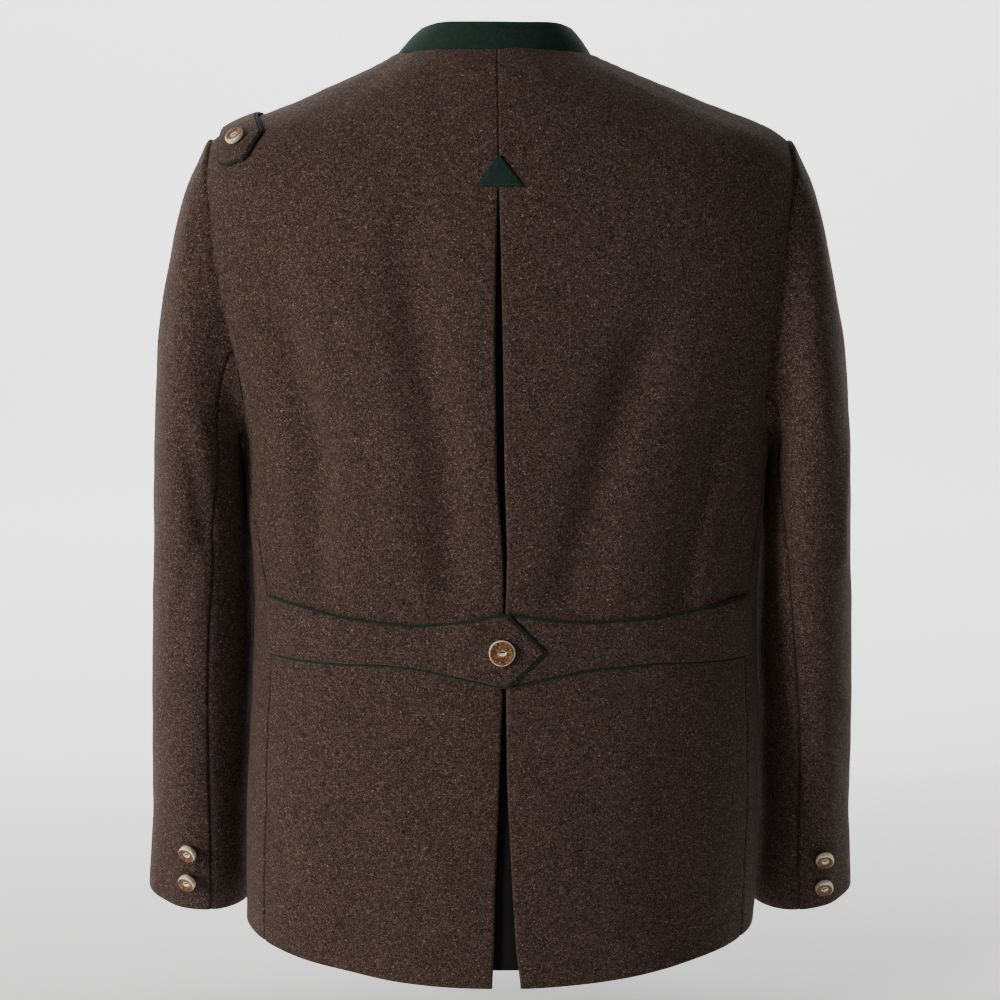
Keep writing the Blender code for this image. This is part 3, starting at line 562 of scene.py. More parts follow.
# Columns: height, left edge x, right edge x
CENTRE_BACK = (
    (0.0000, 0.0016, 0.0023),
    (-0.0850, 0.0004, 0.0011),
    (-0.1000, 0.0010, 0.0009),
    (-0.1485, 0.0026, -0.0006),
    (-0.1860, 0.0033, -0.0014),
    (-0.2240, 0.0036, -0.0022),
    (-0.3250, 0.0022, -0.0036),
    (-0.3890, -0.0026, -0.0056),
    (-0.4330, -0.0030, -0.0042),
    (-0.4940, -0.0022, -0.0046),
    (-0.5650, 0.0001, -0.0055),
    (-0.6210, 0.0022, -0.0080),
    (-0.6610, 0.0038, -0.0103),
    (-0.7020, 0.0046, -0.0127),
    (-0.7320, 0.0060, -0.0162),
)
SHOULDER_ROWS = 36
ARMHOLE_ROWS = 72
SKIRT_ROWS = 96


def armhole_ring(turn):
    """Ring of the armhole's edge, at a turn from the shoulder seam (0) to the armpit (half a turn)."""
    return SHOULDER_RING + (ARMPIT_RING - SHOULDER_RING) * (1.0 - np.cos(turn)) / 2.0


def armhole_angle(turn, behind):
    """Angle of the armhole's back or front edge."""
    reach = np.abs(np.sin(turn)) ** ARMHOLE_ROUNDNESS
    middle = 90.0 - ARMPIT_BEHIND_SIDE * (1.0 - np.cos(turn)) / 2.0
    return np.radians(np.where(behind, middle - ARMHOLE_BACK * reach, middle + ARMHOLE_FRONT * reach))


def on_armhole(turns):
    """Which rows lie on the armhole, between the shoulder seam and the armpit."""
    return (turns > 0.0) & (turns < math.pi)


def panel_rows():
    """Ring of every row of a panel, and its turn round the armhole, which is -1 where there is none."""
    above = np.linspace(NECK_START_RING, SHOULDER_RING, SHOULDER_ROWS, endpoint=False)
    turns = np.linspace(0.0, math.pi, ARMHOLE_ROWS)
    below = np.linspace(ARMPIT_RING, HEM_RING, SKIRT_ROWS + 1)[1:]
    rings = np.concatenate([above, armhole_ring(turns), below])
    turn = np.concatenate([np.full(len(above), -1.0), turns, np.full(len(below), -1.0)])
    return rings, turn


def outer_edge(side, rings, turns, behind):
    """Angle of a panel's outer edge in each row."""
    seam = SEAM_MEETING / 2 / arc_per_radian(math.pi / 2, rings) * (-1 if behind else 1)
    edge = np.radians(column_at(SIDE_SEAMS, rings, 1 if side > 0 else 2)) + seam
    edge = np.where(rings <= SHOULDER_RING, math.pi / 2 + seam, edge)
    return np.where(on_armhole(turns), armhole_angle(turns, behind), edge)


def panel_grid(start, end, columns, seam_first):
    """Angles and rings of a panel's points, and their distances from the edge that has the seam."""
    length = np.abs(end - start) * arc_per_radian((start + end) / 2, RINGS)
    shares = shares_across(length, columns, seam_first, not seam_first)
    angles = start[:, None] + (end - start)[:, None] * shares
    rings = RINGS[:, None] + 0 * angles
    edge = (start if seam_first else end)[:, None]
    return angles, rings, np.abs(angles - edge) * arc_per_radian(angles, rings)


RINGS, TURNS = panel_rows()
print("rows in a panel:", len(RINGS))

# %% The back panels
FOLD_RADIUS = 0.0013
SEAM_RETURN = 0.012
PLEAT_RETURN = 0.030
PLEAT_TOP_RING = 3.2
PLEAT_TOP_EASE = 0.6
BACK_COLUMNS = 64
RETURN_SHARES = (1.0, 0.75, 0.5, 0.3, 0.15, 0.06)
FOLD_TURNS = np.radians(np.arange(180, 0, -20))
# Metres down the cloth for each ring of the body, as the puckers count them
RING_LENGTH = 0.06


def back_start(side, rings):
    """Angle at which the fold starts, so that its round edge is the edge that shows."""
    edge_x = column_at(CENTRE_BACK, plain_body(0.0, rings)[..., 2], 1 if side > 0 else 2)
    return angle_at(edge_x + side * (FOLD_RADIUS + CLOTH / 2), rings)


def back_panel(side):
    """Grid of one back panel: the return, the fold and the panel itself."""
    start = back_start(side, RINGS)
    end = side * outer_edge(side, RINGS, TURNS, behind=True)
    angles, rings, to_seam = panel_grid(start, end, BACK_COLUMNS, seam_first=False)
    by_sleeve = on_armhole(TURNS)[:, None]
    dip = seam_dip(to_seam, rings * RING_LENGTH) * np.where(by_sleeve, ARMHOLE_DIP_SHARE, 1.0)
    points, outward = body(angles, rings, -dip)
    place, faces = body(start, RINGS)
    along = unit(body(start + side * STEP, RINGS)[0] - place)
    opened = smooth_step((RINGS - PLEAT_TOP_RING) / PLEAT_TOP_EASE)
    depth = SEAM_RETURN + (PLEAT_RETURN - SEAM_RETURN) * opened
    inner = [
        body(start + side * depth * share / arc_per_radian(start, RINGS), RINGS, -2 * FOLD_RADIUS)
        for share in RETURN_SHARES
    ]
    centre = place - faces * FOLD_RADIUS
    fold_points = [p for p, _ in inner]
    fold_faces = [-n for _, n in inner]
    for turn in FOLD_TURNS:
        turned = faces * math.cos(turn) - along * math.sin(turn)
        fold_points.append(centre + turned * FOLD_RADIUS)
        fold_faces.append(turned)
    # Painted shade along the seams, weaker round the armhole
    shade = painted_seam_shade(to_seam) * np.where(by_sleeve, ARMHOLE_PAINTED_SHADE_SHARE, 1.0)
    shade = np.concatenate([np.zeros((len(RINGS), len(fold_points))), shade], 1)
    points = np.concatenate([np.stack(fold_points, 1), points], 1)
    return points, np.concatenate([np.stack(fold_faces, 1), outward], 1), shade


for side, side_name in SIDES:
    *grid, shade = back_panel(side)
    cloth_piece(f"wool_back_{side_name}", *grid, CLOTH, shade)

# %% [markdown]
# The fronts don't show in the photograph. A jacket of this kind has two plain fronts, the wearer's left
# one over the right one, so the right one steps down by the cloth's thickness where it passes below.

# %% The front panels
FRONT_COLUMNS = 72
FRONT_LAP = 0.020
LAP_STEP = CLOTH + LAY_GAP
LAP_MARGIN = 0.004
LAP_EASE = 0.030


def front_panel(side):
    """Grid of one front panel, from the side seam to its front edge."""
    start = side * outer_edge(side, RINGS, TURNS, behind=False)
    edge_x = -FRONT_LAP + side * plain_body(math.pi, RINGS)[..., 0]
    end = side * angle_at(edge_x, RINGS, behind=False)
    angles, rings, to_seam = panel_grid(start, end, FRONT_COLUMNS, seam_first=True)
    lift = -seam_dip(to_seam, rings * RING_LENGTH)
    if side < 0:
        from_centre = -plain_body(angles, rings)[..., 0] - FRONT_LAP - LAP_MARGIN
        lift = lift - LAP_STEP * (1.0 - smooth_step(from_centre / LAP_EASE))
    # With the painted shade along the side seam
    return *body(angles, rings, lift), painted_seam_shade(to_seam)


for side, side_name in SIDES:
    *grid, shade = front_panel(side)
    cloth_piece(f"wool_front_{side_name}", *grid, CLOTH, shade)

# %% The dark strip behind the pleat
UNDERLAY_HALF_WIDTH = 0.036
UNDERLAY_TOP_RING = 3.0
UNDERLAY_END_RING = 11.84
UNDERLAY_ROWS = 120
UNDERLAY_COLUMNS = 19
UNDERLAY_DEPTH = 2 * FOLD_RADIUS + CLOTH + UNDERLAY_GAP

rings = np.linspace(UNDERLAY_TOP_RING, UNDERLAY_END_RING, UNDERLAY_ROWS)[:, None]
across = UNDERLAY_HALF_WIDTH * np.linspace(-1, 1, UNDERLAY_COLUMNS)
across = across + plain_body(0.0, rings)[..., 0]
cloth_piece("pleat_strip", *body(angle_at(across, rings), rings, -UNDERLAY_DEPTH), CLOTH)

# %% [markdown]
# A tailored sleeve is two pieces: a wide top sleeve and a narrow under sleeve, with a hind-arm seam that
# runs from the back of the armhole to the cuff. The sleeve bends forward at the elbow. Its rings are
# loops between an outer and an inner point, and the first one is the armhole itself, so the sleeve
# leaves the body without a step. Column 0 of 16 is the fore-arm seam, and column 12 the hind-arm seam.

# %% Sizes of the sleeve
# Columns: outer_x, outer_z, inner_x, inner_z, middle_y, half_depth, back_drop,
# share of the armhole's own shape
SLEEVE_RINGS = np.array((
    (0.2290, -0.0740, 0.2155, -0.3050, -0.0050, 0.0580, 0.000, 1.00),
    (0.2325, -0.0745, 0.2180, -0.3050, -0.0050, 0.0580, 0.000, 1.00),
    (0.2392, -0.0880, 0.2190, -0.3056, -0.0055, 0.0605, 0.000, 0.85),
    (0.2525, -0.1175, 0.2195, -0.3078, -0.0060, 0.0640, 0.000, 0.60),
    (0.2650, -0.1650, 0.2188, -0.3120, -0.0070, 0.0680, 0.000, 0.35),
    (0.2762, -0.2250, 0.2178, -0.3190, -0.0090, 0.0710, 0.000, 0.15),
    (0.2820, -0.2880, 0.2158, -0.3300, -0.0120, 0.0730, 0.000, 0.05),
    (0.2858, -0.3480, 0.2136, -0.3520, -0.0170, 0.0730, 0.000, 0.00),
    (0.2894, -0.4080, 0.2113, -0.4080, -0.0240, 0.0700, 0.000, 0.00),
    (0.2924, -0.4680, 0.2099, -0.4680, -0.0320, 0.0670, 0.000, 0.00),
    (0.2955, -0.5300, 0.2128, -0.5300, -0.0380, 0.0630, 0.000, 0.00),
    (0.2978, -0.5900, 0.2158, -0.5930, -0.0450, 0.0580, 0.001, 0.00),
    (0.3000, -0.6480, 0.2175, -0.6550, -0.0510, 0.0530, 0.002, 0.00),
    (0.3040, -0.7115, 0.2186, -0.7215, -0.0560, 0.0480, 0.005, 0.00),
))
# The seams' angles in each of these rings. Columns: left hind, left fore, right hind, right fore
SLEEVE_SEAMS = np.array((
    (112.5, 202.5, 135.0, 225.0),
    (112.5, 202.5, 135.0, 225.0),
    (114.0, 206.0, 135.5, 226.0),
    (117.0, 212.0, 137.0, 228.0),
    (120.0, 219.0, 140.0, 230.0),
    (123.0, 226.0, 144.0, 232.0),
    (125.0, 232.0, 147.0, 234.0),
    (119.5, 235.0, 139.0, 235.0),
    (111.5, 237.0, 121.0, 237.0),
    (104.0, 239.0, 110.5, 239.0),
    (103.5, 241.0, 105.0, 241.0),
    (105.5, 243.0, 102.5, 243.0),
    (107.5, 244.0, 101.0, 244.0),
    (109.0, 245.0, 98.0, 245.0),
))
# The armhole point, counted from the shoulder over the back, where each fore seam starts
FORE_SEAM_STARTS = {1: 9, -1: 10}
OUTER_SIDEWAYS_SHARE = 0.4
HIND_COLUMN = 12
SLEEVE_COLUMNS = 16
# Columns: name, first and last column, columns between the two seams
SLEEVE_HALVES = (("top", 0, HIND_COLUMN, 72), ("under", HIND_COLUMN, SLEEVE_COLUMNS, 26))
SLEEVE_ROWS = 130
ARMHOLE_SAMPLES = 64
SLEEVE_GIRTH = 0.36
GIRTH_LOSS_PER_RING = 0.010
# Metres of cloth for each ring or column: below the armhole, in puckers and in the faint waver
FIRST_RING_LENGTH = 0.030
PUCKER_RING_LENGTH = 0.05
PUCKER_COLUMN_WIDTH = 0.022
WAVER_COLUMN_WIDTH = 0.025
CUFF_RING = 13
BODY_SIDEWAYS = BODY_RINGS[:, (0, 6)]
print("sleeve is", round(float(SLEEVE_RINGS[0, 1] - SLEEVE_RINGS[-1, 1]), 3), "m from shoulder to cuff")

# %% The sleeve's surface
# Columns: top column, top height, bottom column, bottom height, half width in columns, depth
HIDDEN_CREASES = (
    (3.4, -0.360, 2.2, -0.480, 0.70, 0.0034),
    (1.6, -0.400, 3.0, -0.540, 0.65, 0.0030),
    (4.6, -0.300, 3.4, -0.400, 0.60, 0.0020),
    (5.0, -0.540, 4.2, -0.730, 0.80, 0.0014),
)
SLEEVE_CREASES = {
    1: HIDDEN_CREASES + (
        (9.6, -0.270, 11.7, -0.400, 0.75, 0.0046),
        (10.9, -0.380, 10.2, -0.500, 0.60, 0.0022),
        (8.2, -0.110, 8.8, -0.260, 0.80, 0.0016),
        (12.8, -0.200, 12.9, -0.430, 0.80, -0.0016),
        (9.5, -0.560, 9.0, -0.730, 0.90, 0.0012),
    ),
    -1: HIDDEN_CREASES + (
        (10.8, -0.120, 11.2, -0.290, 0.95, 0.0048),
        (7.2, -0.290, 8.6, -0.420, 0.45, -0.0022),
        (9.2, -0.300, 9.9, -0.440, 0.80, 0.0022),
        (9.0, -0.520, 8.6, -0.730, 0.90, 0.0012),
    ),
}


def plain_sleeve(side, ring, angle):
    """Points on the sleeve's plain rings: angle 0 is its outer side, then the back and the inside."""
    row = table_row(SLEEVE_RINGS, ring)[..., :7]
    outer_x, outer_z, inner_x, inner_z, middle_y, half_depth, back_drop = np.moveaxis(row, -1, 0)
    inner_x = inner_x + side * column_at(BODY_SIDEWAYS, inner_z, 1)
    outer_x = outer_x + side * column_at(BODY_SIDEWAYS, outer_z, 1) * OUTER_SIDEWAYS_SHARE
    c, s = np.cos(angle), np.sin(angle)
    x = (outer_x + inner_x) / 2 + (outer_x - inner_x) / 2 * c
    z = (outer_z + inner_z) / 2 + (outer_z - inner_z) / 2 * c - back_drop * s
    return np.stack([side * x, middle_y + half_depth * s, z], -1)


def sleeve_angle(side, ring, column):
    """Angle round the sleeve at a column, from the fore-arm seam over the top to the hind-arm seam."""
    row = np.radians(table_row(SLEEVE_SEAMS, ring))
    hind, fore = (row[..., 0], row[..., 1]) if side > 0 else (row[..., 2], row[..., 3])
    over = 2 * math.pi + hind - fore
    top = fore + over * column / HIND_COLUMN
    under = hind + (fore - hind) * (column - HIND_COLUMN) / (SLEEVE_COLUMNS - HIND_COLUMN)
    return np.where(column <= HIND_COLUMN, top, under)


def armhole_point(side, turn):
    """Points of the armhole and their outward directions, by the turn from the shoulder over the back."""
    behind = turn <= math.pi
    half_turn = np.where(behind, turn, 2 * math.pi - turn)
    return body(side * armhole_angle(half_turn, behind), armhole_ring(half_turn))


def armhole_place(side, column):
    """The point of the armhole that a column of the sleeve starts from, moved in by the seam's gap."""
    all_turns = 2 * math.pi * np.arange(ARMHOLE_SAMPLES) / ARMHOLE_SAMPLES
    middle = armhole_point(side, all_turns)[0].mean(0)
    turn = 2 * math.pi * (((column + FORE_SEAM_STARTS[side]) / SLEEVE_COLUMNS) % 1.0)
    place, outward = armhole_point(side, turn)
    inward = middle - place
    inward = unit(inward - outward * (inward * outward).sum(-1, keepdims=True))
    faces = np.stack([0 * turn, np.sin(turn), np.cos(turn)], -1)
    room = ARMHOLE_GAP + CLOTH / 2 * np.clip(-(faces * inward).sum(-1), 0.0, None)
    return place + inward * room[..., None]


def sleeve(side, rings, columns, dip):
    """Points of the sleeve and the directions they face."""
    share = np.clip(table_row(SLEEVE_RINGS, rings)[..., 7], 0.0, 1.0)[..., None]
    top = 0 * rings
    own = armhole_place(side, columns) - plain_sleeve(side, top, sleeve_angle(side, top, columns))
    points = plain_sleeve(side, rings, sleeve_angle(side, rings, columns)) + own * share
    outward = unit(np.cross(np.gradient(points, axis=1), np.gradient(points, axis=0)))
    from_middle = points - points.mean(1, keepdims=True)
    outward = outward * np.sign((outward * from_middle).sum(-1).mean())
    depth = trough_depth(SLEEVE_CREASES[side], columns, points[..., 2])
    depth = depth + waver(columns * WAVER_COLUMN_WIDTH + side, points[..., 2])
    return points - outward * (depth + dip)[..., None], outward


def sleeve_half(side, first, last, count):
    """Grid of a top or an under sleeve, from one seam to the other."""
    rings = CUFF_RING * np.linspace(0.0, 1.0, SLEEVE_ROWS)
    width = (SLEEVE_GIRTH - GIRTH_LOSS_PER_RING * rings) * (last - first) / SLEEVE_COLUMNS
    shares = shares_across(width, count, True, True)
    gap = (SEAM_MEETING / 2 / width)[:, None]
    shares = gap + (1 - 2 * gap) * shares
    columns = first + (last - first) * shares
    ring_grid = rings[:, None] + 0 * columns
    distance = np.minimum(shares, 1 - shares) * width[:, None]
    dip = seam_dip(distance, ring_grid * PUCKER_RING_LENGTH)
    armhole_dip = seam_dip(ring_grid * FIRST_RING_LENGTH, columns * PUCKER_COLUMN_WIDTH)
    dip = np.maximum(dip, armhole_dip * ARMHOLE_DIP_SHARE)
    # With the painted shade along both seams of the half
    return *sleeve(side, ring_grid, columns, dip), painted_seam_shade(distance)


for side, side_name in SIDES:
    for half, first, last, count in SLEEVE_HALVES:
        *grid, shade = sleeve_half(side, first, last, count)
        cloth_piece(f"wool_sleeve_{half}_{side_name}", *grid, CLOTH, shade)

# %% [markdown]
# The collar is one strip of green felt that stands up round the neck and leans in a little. It is open
# at the front. Its top edge is rounder than the cut edges of the wool, because felt is folded there.

# %% The stand collar
# Columns: the same as in BODY_RINGS
COLLAR_TOP = np.array((0.0155, 0.0205, -0.0520, 0.0575, 0.0500, 0.0570, 0.0025))
COLLAR_FRONT_ANGLE = math.radians(177.5)
COLLAR_SEAM_SHARE = -0.020
COLLAR_FLATNESS = 4
LEAST_FLATNESS_SHARE = 0.25
COLLAR_ROWS = 18
COLLAR_COLUMNS = 181
COLLAR_BOW = 0.0007
COLLAR_ROUNDING = 0.0010
NECK_RADIUS = 0.07
COLLAR_HEIGHT = 0.03


def collar_plain(angle, share):
    """Points on the collar: share 0 is its seam and 1 its top edge, which is level across the back."""
    row = BODY_RINGS[0] + (COLLAR_TOP - BODY_RINGS[0]) * share[..., None]
    squareness = 2 * COLLAR_FLATNESS * np.clip(share, LEAST_FLATNESS_SHARE, 1.0)
    forward = np.cos(angle)
    level = np.where(forward > 0, 1.0 - np.abs(np.sin(angle)) ** squareness, forward**2)
    return ring_points(row, angle, level)


def collar_grid():
    """Grid of the collar, from its top edge down to its seam."""
    angle, share = np.meshgrid(
        np.linspace(-COLLAR_FRONT_ANGLE, COLLAR_FRONT_ANGLE, COLLAR_COLUMNS),
        np.linspace(1.0, COLLAR_SEAM_SHARE, COLLAR_ROWS),
    )
    points = collar_plain(angle, share)
    round_neck = collar_plain(angle + STEP, share) - collar_plain(angle - STEP, share)
    down = collar_plain(angle, share - STEP) - collar_plain(angle, share + STEP)
    outward = unit(np.cross(round_neck, down))
    bow = COLLAR_BOW * np.sin(math.pi * share) + waver(angle * NECK_RADIUS, share * COLLAR_HEIGHT)
    return points + outward * bow[..., None], outward


cloth_piece("felt_collar", *collar_grid(), COLLAR_WALL, rounding=COLLAR_ROUNDING)

# %% [markdown]
# What is sewn on top of a panel is made from the panel's own points, moved out. So the half belt, the
# felt triangle and the shoulder tab follow every fold below them and never float.

# %% The half belt
# Columns: distance from the centre, top edge, bottom edge
BELT_EDGES = (
    (-0.2100, -0.4345, -0.4860),
    (-0.1900, -0.4360, -0.4845),
    (-0.1263, -0.4418, -0.4773),
    (-0.0700, -0.4426, -0.4786),
    (-0.0350, -0.4390, -0.4848),
    (-0.0039, -0.4333, -0.4914),
    (0.0234, -0.4400, -0.4852),
    (0.0665, -0.4458, -0.4778),
    (0.0942, -0.4442, -0.4768),
    (0.1263, -0.4420, -0.4793),
    (0.1900, -0.4339, -0.4815),
    (0.2100, -0.4312, -0.4820),
)
BELT_POINT_X = -0.0340
BELT_POINT_Z = -0.4635
BELT_SHOULDER_X = -0.0060
BELT_UNDER_END_X = 0.0200
BELT_SIDE_ROOM = 0.004
BELT_LIFT_MARGIN = 0.004
BELT_LIFT_EASE = 0.030
BELT_EDGE_SOFTNESS = 0.008
BELT_PILLOW = 0.0006
BELT_EDGE_SAMPLES = 9
BELT_COLUMNS = 90
BELT_ROWS = 17
POINT_COLUMNS = 14
POINT_END_SHARE = 0.97
SEWN_EDGE_ROUNDING = 0.0009


def pillow(share):
    """How far a stuffed strip drops towards its two long edges, from 0 in the middle to -1."""
    return np.sin(math.pi * share) ** 0.5 - 1.0


def belt_lift(x, over):
    """How far the middle of a belt part lies from the panel's middle surface."""
    near = CLOTH / 2 + LAY_GAP + BELT_WALL / 2
    rise = 1.0 - smooth_step((x - BELT_UNDER_END_X - BELT_LIFT_MARGIN) / BELT_LIFT_EASE)
    return near + (BELT_WALL + LAY_GAP) * rise * over


def belt_edge(x, column):
    """A belt edge's height at x, eased over its table's corners."""
    offsets = np.linspace(-1.0, 1.0, BELT_EDGE_SAMPLES) * BELT_EDGE_SOFTNESS
    return sum(column_at(BELT_EDGES, x + offset, column) for offset in offsets) / len(offsets)


def belt_grid(over):
    """Grid of one belt part: the wearer's left one ends in a point over the right one."""
    side = 1 if over else -1
    seam_angle = side * outer_edge(side, np.array([WAIST_RING]), np.array([-1.0]), behind=True)[0]
    outer = plain_body(seam_angle - side * BELT_SIDE_ROOM, WAIST_RING)[0]
    inner = BELT_SHOULDER_X if over else BELT_UNDER_END_X
    x = np.linspace(outer, inner, BELT_COLUMNS)
    top, bottom = belt_edge(x, 1), belt_edge(x, 2)
    if over:
        share = np.linspace(0.0, POINT_END_SHARE, POINT_COLUMNS)[1:]
        x = np.concatenate([x, inner + (BELT_POINT_X - inner) * share])
        top = np.concatenate([top, top[-1] + (BELT_POINT_Z - top[-1]) * share])
        bottom = np.concatenate([bottom, bottom[-1] + (BELT_POINT_Z - bottom[-1]) * share])
    down = np.linspace(0.0, 1.0, BELT_ROWS)[:, None]
    heights = top + (bottom - top) * down
    across = x + 0 * heights
    lift = belt_lift(across, over) + BELT_PILLOW * pillow(down)
    return body(*back_place(across, heights), lift)


belt_grids = {"left": belt_grid(True), "right": belt_grid(False)}
for side_name, grid in belt_grids.items():
    cloth_piece(f"wool_belt_{side_name}", *grid, BELT_WALL, rounding=SEWN_EDGE_ROUNDING)

# %% The felt triangle
# Columns: height, left edge x, right edge x
TRIANGLE_ROWS = np.array(((-0.0795, 0.0018, -0.0002), (-0.1020, 0.0188, -0.0176)))
TRIANGLE_TUCK = 0.0005
TRIANGLE_TUCK_WIDTH = 1 / 3
TRIANGLE_ROUNDING = 0.0006
TRIANGLE_GRID = (22, 25)


def strip_grid(rows, share):
    """The first column of a table's rows, and x from the left to the right edge in the next two."""
    x = rows[:, 1:2] + (rows[:, 2:3] - rows[:, 1:2]) * share
    return rows[:, :1] + 0 * x, x


def triangle_grid():
    """Grid of the triangle, with its two slanting edges tucked down."""
    down, across = (np.linspace(0.0, 1.0, count) for count in TRIANGLE_GRID)
    top, bottom = TRIANGLE_ROWS
    heights, x = strip_grid(top + (bottom - top) * down[:, None], across)
    from_edge = 2 * np.minimum(across, 1.0 - across)
    tuck = TRIANGLE_TUCK * np.clip(1.0 - from_edge / TRIANGLE_TUCK_WIDTH, 0.0, 1.0) ** 2
    return body(*back_place(x, heights), CLOTH / 2 + LAY_GAP + FELT / 2 - tuck + 0 * x)


cloth_piece("felt_triangle_patch", *triangle_grid(), FELT, rounding=TRIANGLE_ROUNDING)

# %% The shoulder tab
# Columns: y, outer x, inner x
STRAP_ROWS = (
    (0.0612, 0.1975, 0.1935),
    (0.0585, 0.2018, 0.1908),
    (0.0545, 0.2085, 0.1868),
    (0.0510, 0.2130, 0.1846),
    (0.0470, 0.2160, 0.1858),
    (0.0400, 0.2176, 0.1882),
    (0.0250, 0.2180, 0.1912),
    (0.0110, 0.2184, 0.1930),
    (-0.0040, 0.2184, 0.1925),
    (-0.0200, 0.2165, 0.1895),
    (-0.0350, 0.2125, 0.1850),
    (-0.0480, 0.2065, 0.1785),
    (-0.0580, 0.1985, 0.1700),
)
STRAP_PILLOW = 0.0006
STRAP_GRID = (80, 25)
SHOULDER_STEP = 1e-4
SHOULDER_PASSES = 20


def shoulder_place(x, y):
    """Angle and ring of the shoulder's point under a place seen from the top, by Newton's steps."""
    angle = math.pi / 2 - y / BODY_RINGS[SHOULDER_RING][4]
    ring = SHOULDER_RING - 0.5 + 0 * x
    for _ in range(SHOULDER_PASSES):
        here = plain_body(angle, ring)
        by_angle = (plain_body(angle + SHOULDER_STEP, ring) - here) / SHOULDER_STEP
        by_ring = (plain_body(angle, ring + SHOULDER_STEP) - here) / SHOULDER_STEP
        off_x, off_y = x - here[..., 0], y - here[..., 1]
        scale = by_angle[..., 0] * by_ring[..., 1] - by_ring[..., 0] * by_angle[..., 1]
        angle = angle + (off_x * by_ring[..., 1] - by_ring[..., 0] * off_y) / scale
        ring = ring + (by_angle[..., 0] * off_y - off_x * by_angle[..., 1]) / scale
    return angle, ring


def strap_grid():
    """Grid of the tab, from its end on the back to its end on the front."""
    down, across = (np.linspace(0.0, 1.0, count) for count in STRAP_GRID)
    y, x = strip_grid(table_row(STRAP_ROWS, (len(STRAP_ROWS) - 1) * down), across)
    lift = CLOTH / 2 + STRAP_GAP + STRAP_WALL / 2 + STRAP_PILLOW * pillow(across)
    return body(*shoulder_place(x, y), lift + 0 * x)


strap = strap_grid()
cloth_piece("wool_shoulder_tab", *strap, STRAP_WALL, rounding=SEWN_EDGE_ROUNDING)

# %% [markdown]
# Piping is a bias strip folded round a thin cord and caught in an edge seam. It is a tube whose
# centreline lies just outside the belt's edge. It could be a curve with a bevel. Here rings of points
# along the route make it, so that its two ends are closed and a little thinner, as sewn ends are.

# %% Piping along the edges
PIPING = 0.0018
PIPING_SIDES = 12
TUBE_END_SHARE = 0.6
# A route whose direction has less than this share that is level counts as upright
STEEPEST = 0.2
ROUTE_SMOOTHINGS = 3


def ring_faces(rows, sides):
    """Four-sided faces between rings of points that follow each other."""
    index = np.arange(rows * sides).reshape(rows, sides)
    beside = np.roll(index, -1, axis=1)
    return np.stack([index[:-1], beside[:-1], beside[1:], index[1:]], -1).reshape(-1, 4).tolist()


def tube_mesh(name, route, radius, sides=PIPING_SIDES):
    """A tube with closed ends along a route of points, a little thinner at its two ends."""
    along = unit(np.gradient(route, axis=0))
    level = np.cross(along, (0.0, 0.0, 1.0))
    upright = np.linalg.norm(level, axis=-1, keepdims=True) < STEEPEST
    first = unit(np.where(upright, np.cross(along, (0.0, 1.0, 0.0)), level))
    second = np.cross(along, first)
    turns = (2 * math.pi * np.arange(sides) / sides)[None, :, None]
    shares = np.ones((len(route), 1, 1))
    shares[[0, -1]] = TUBE_END_SHARE
    ring = first[:, None] * np.cos(turns) + second[:, None] * np.sin(turns)
    verts = (route[:, None] + ring * radius * shares).reshape(-1, 3)
    last = len(verts) - sides
    ends = [list(range(sides))[::-1], list(range(last, last + sides))]
    mesh = bpy.data.meshes.new(name)
    mesh.from_pydata(verts.tolist(), [], ring_faces(len(route), sides) + ends)
    return closed_mesh(mesh)


def edge_route(points, outward):
    """The line just outside a strip's long edges and its free end, which is its last column."""
    edge, faces = (np.concatenate([g[0], g[1:-1, -1], g[-1, ::-1]]) for g in (points, outward))
    aside = unit(np.cross(unit(np.gradient(edge, axis=0)), faces))
    flip = np.sign((aside[:1] * (edge[:1] - edge.mean(0))).sum())
    for _ in range(ROUTE_SMOOTHINGS):
        aside[1:-1] = unit(aside[:-2] + aside[1:-1] + aside[2:])
    return edge + aside * flip * (PIPING / 2 + SEAM_GAP / 2)


tab_sides = [grid.transpose(1, 0, 2)[:, ::-1] for grid in strap]
for name, grid in (
    ("belt_left_cord", belt_grids["left"]),
    ("belt_right_cord", belt_grids["right"]),
    ("tab_cord", tab_sides),
):
    pieces[name] = add_object(name, tube_mesh(name, edge_route(*grid), PIPING / 2))
print("piping:", [name for name in pieces if name.endswith("cord")])

# %% [markdown]
# The buttons are slices of staghorn. The cut face shows a pale core with a rim of brown bark, and the
# side is cream where it was turned. Dark green thread crosses an eye-shaped hollow in the middle. The
# face is a polar grid, so one height function gives the rounded rim, the hollow and the rough bark. One
# UV map of the button's own x and y tells the material how far out a point is, and a second one, in
# shares of the eye's size, where the eye ends.

# %% Buttons
# Columns: diameter, height, eye's half length and half width as shares of the radius, and how far the
# bark ring lies off the middle, because a slice is never cut quite square
BUTTON_KINDS = {
    "large": (0.0205, 0.0041, (0.36, 0.23), 0.00),
    "strap": (0.0150, 0.0040, (0.42, 0.34), -0.12),
    "cuff": (0.0152, 0.0050, (0.42, 0.36), 0.13),
}
CUFF_BUTTON_TIP = (0.26, 0.0, -0.26)
CUFF_BUTTON_SHANK = 0.0026
CUFF_STEP = 1e-2
FRONT_BUTTON_HEIGHTS = (-0.112, -0.207, -0.302, -0.397, -0.492)
BELT_BUTTON_PLACE = (-0.0016, -0.4625)
STRAP_BUTTON_PLACE = (0.2027, 0.0456)
# Two places on each sleeve: the angle round it in degrees, and the ring
CUFF_BUTTON_PLACES = {
    "left": ((84.0, 12.20), (84.0, 12.60)),
    "right": ((72.0, 12.32), (72.0, 12.70)),
}
# In radians; on the cuffs and down the front, each further button is turned this much more
BUTTON_TURNS = {"belt": 0.05, "strap": 0.4, "cuff": 0.15, "front": 0.1}
FACE_RINGS = (0.93, 0.90, 0.86, 0.82, 0.76, 0.70, 0.64, 0.58, 0.52, 0.46, 0.40, 0.34, 0.27, 0.19, 0.10)
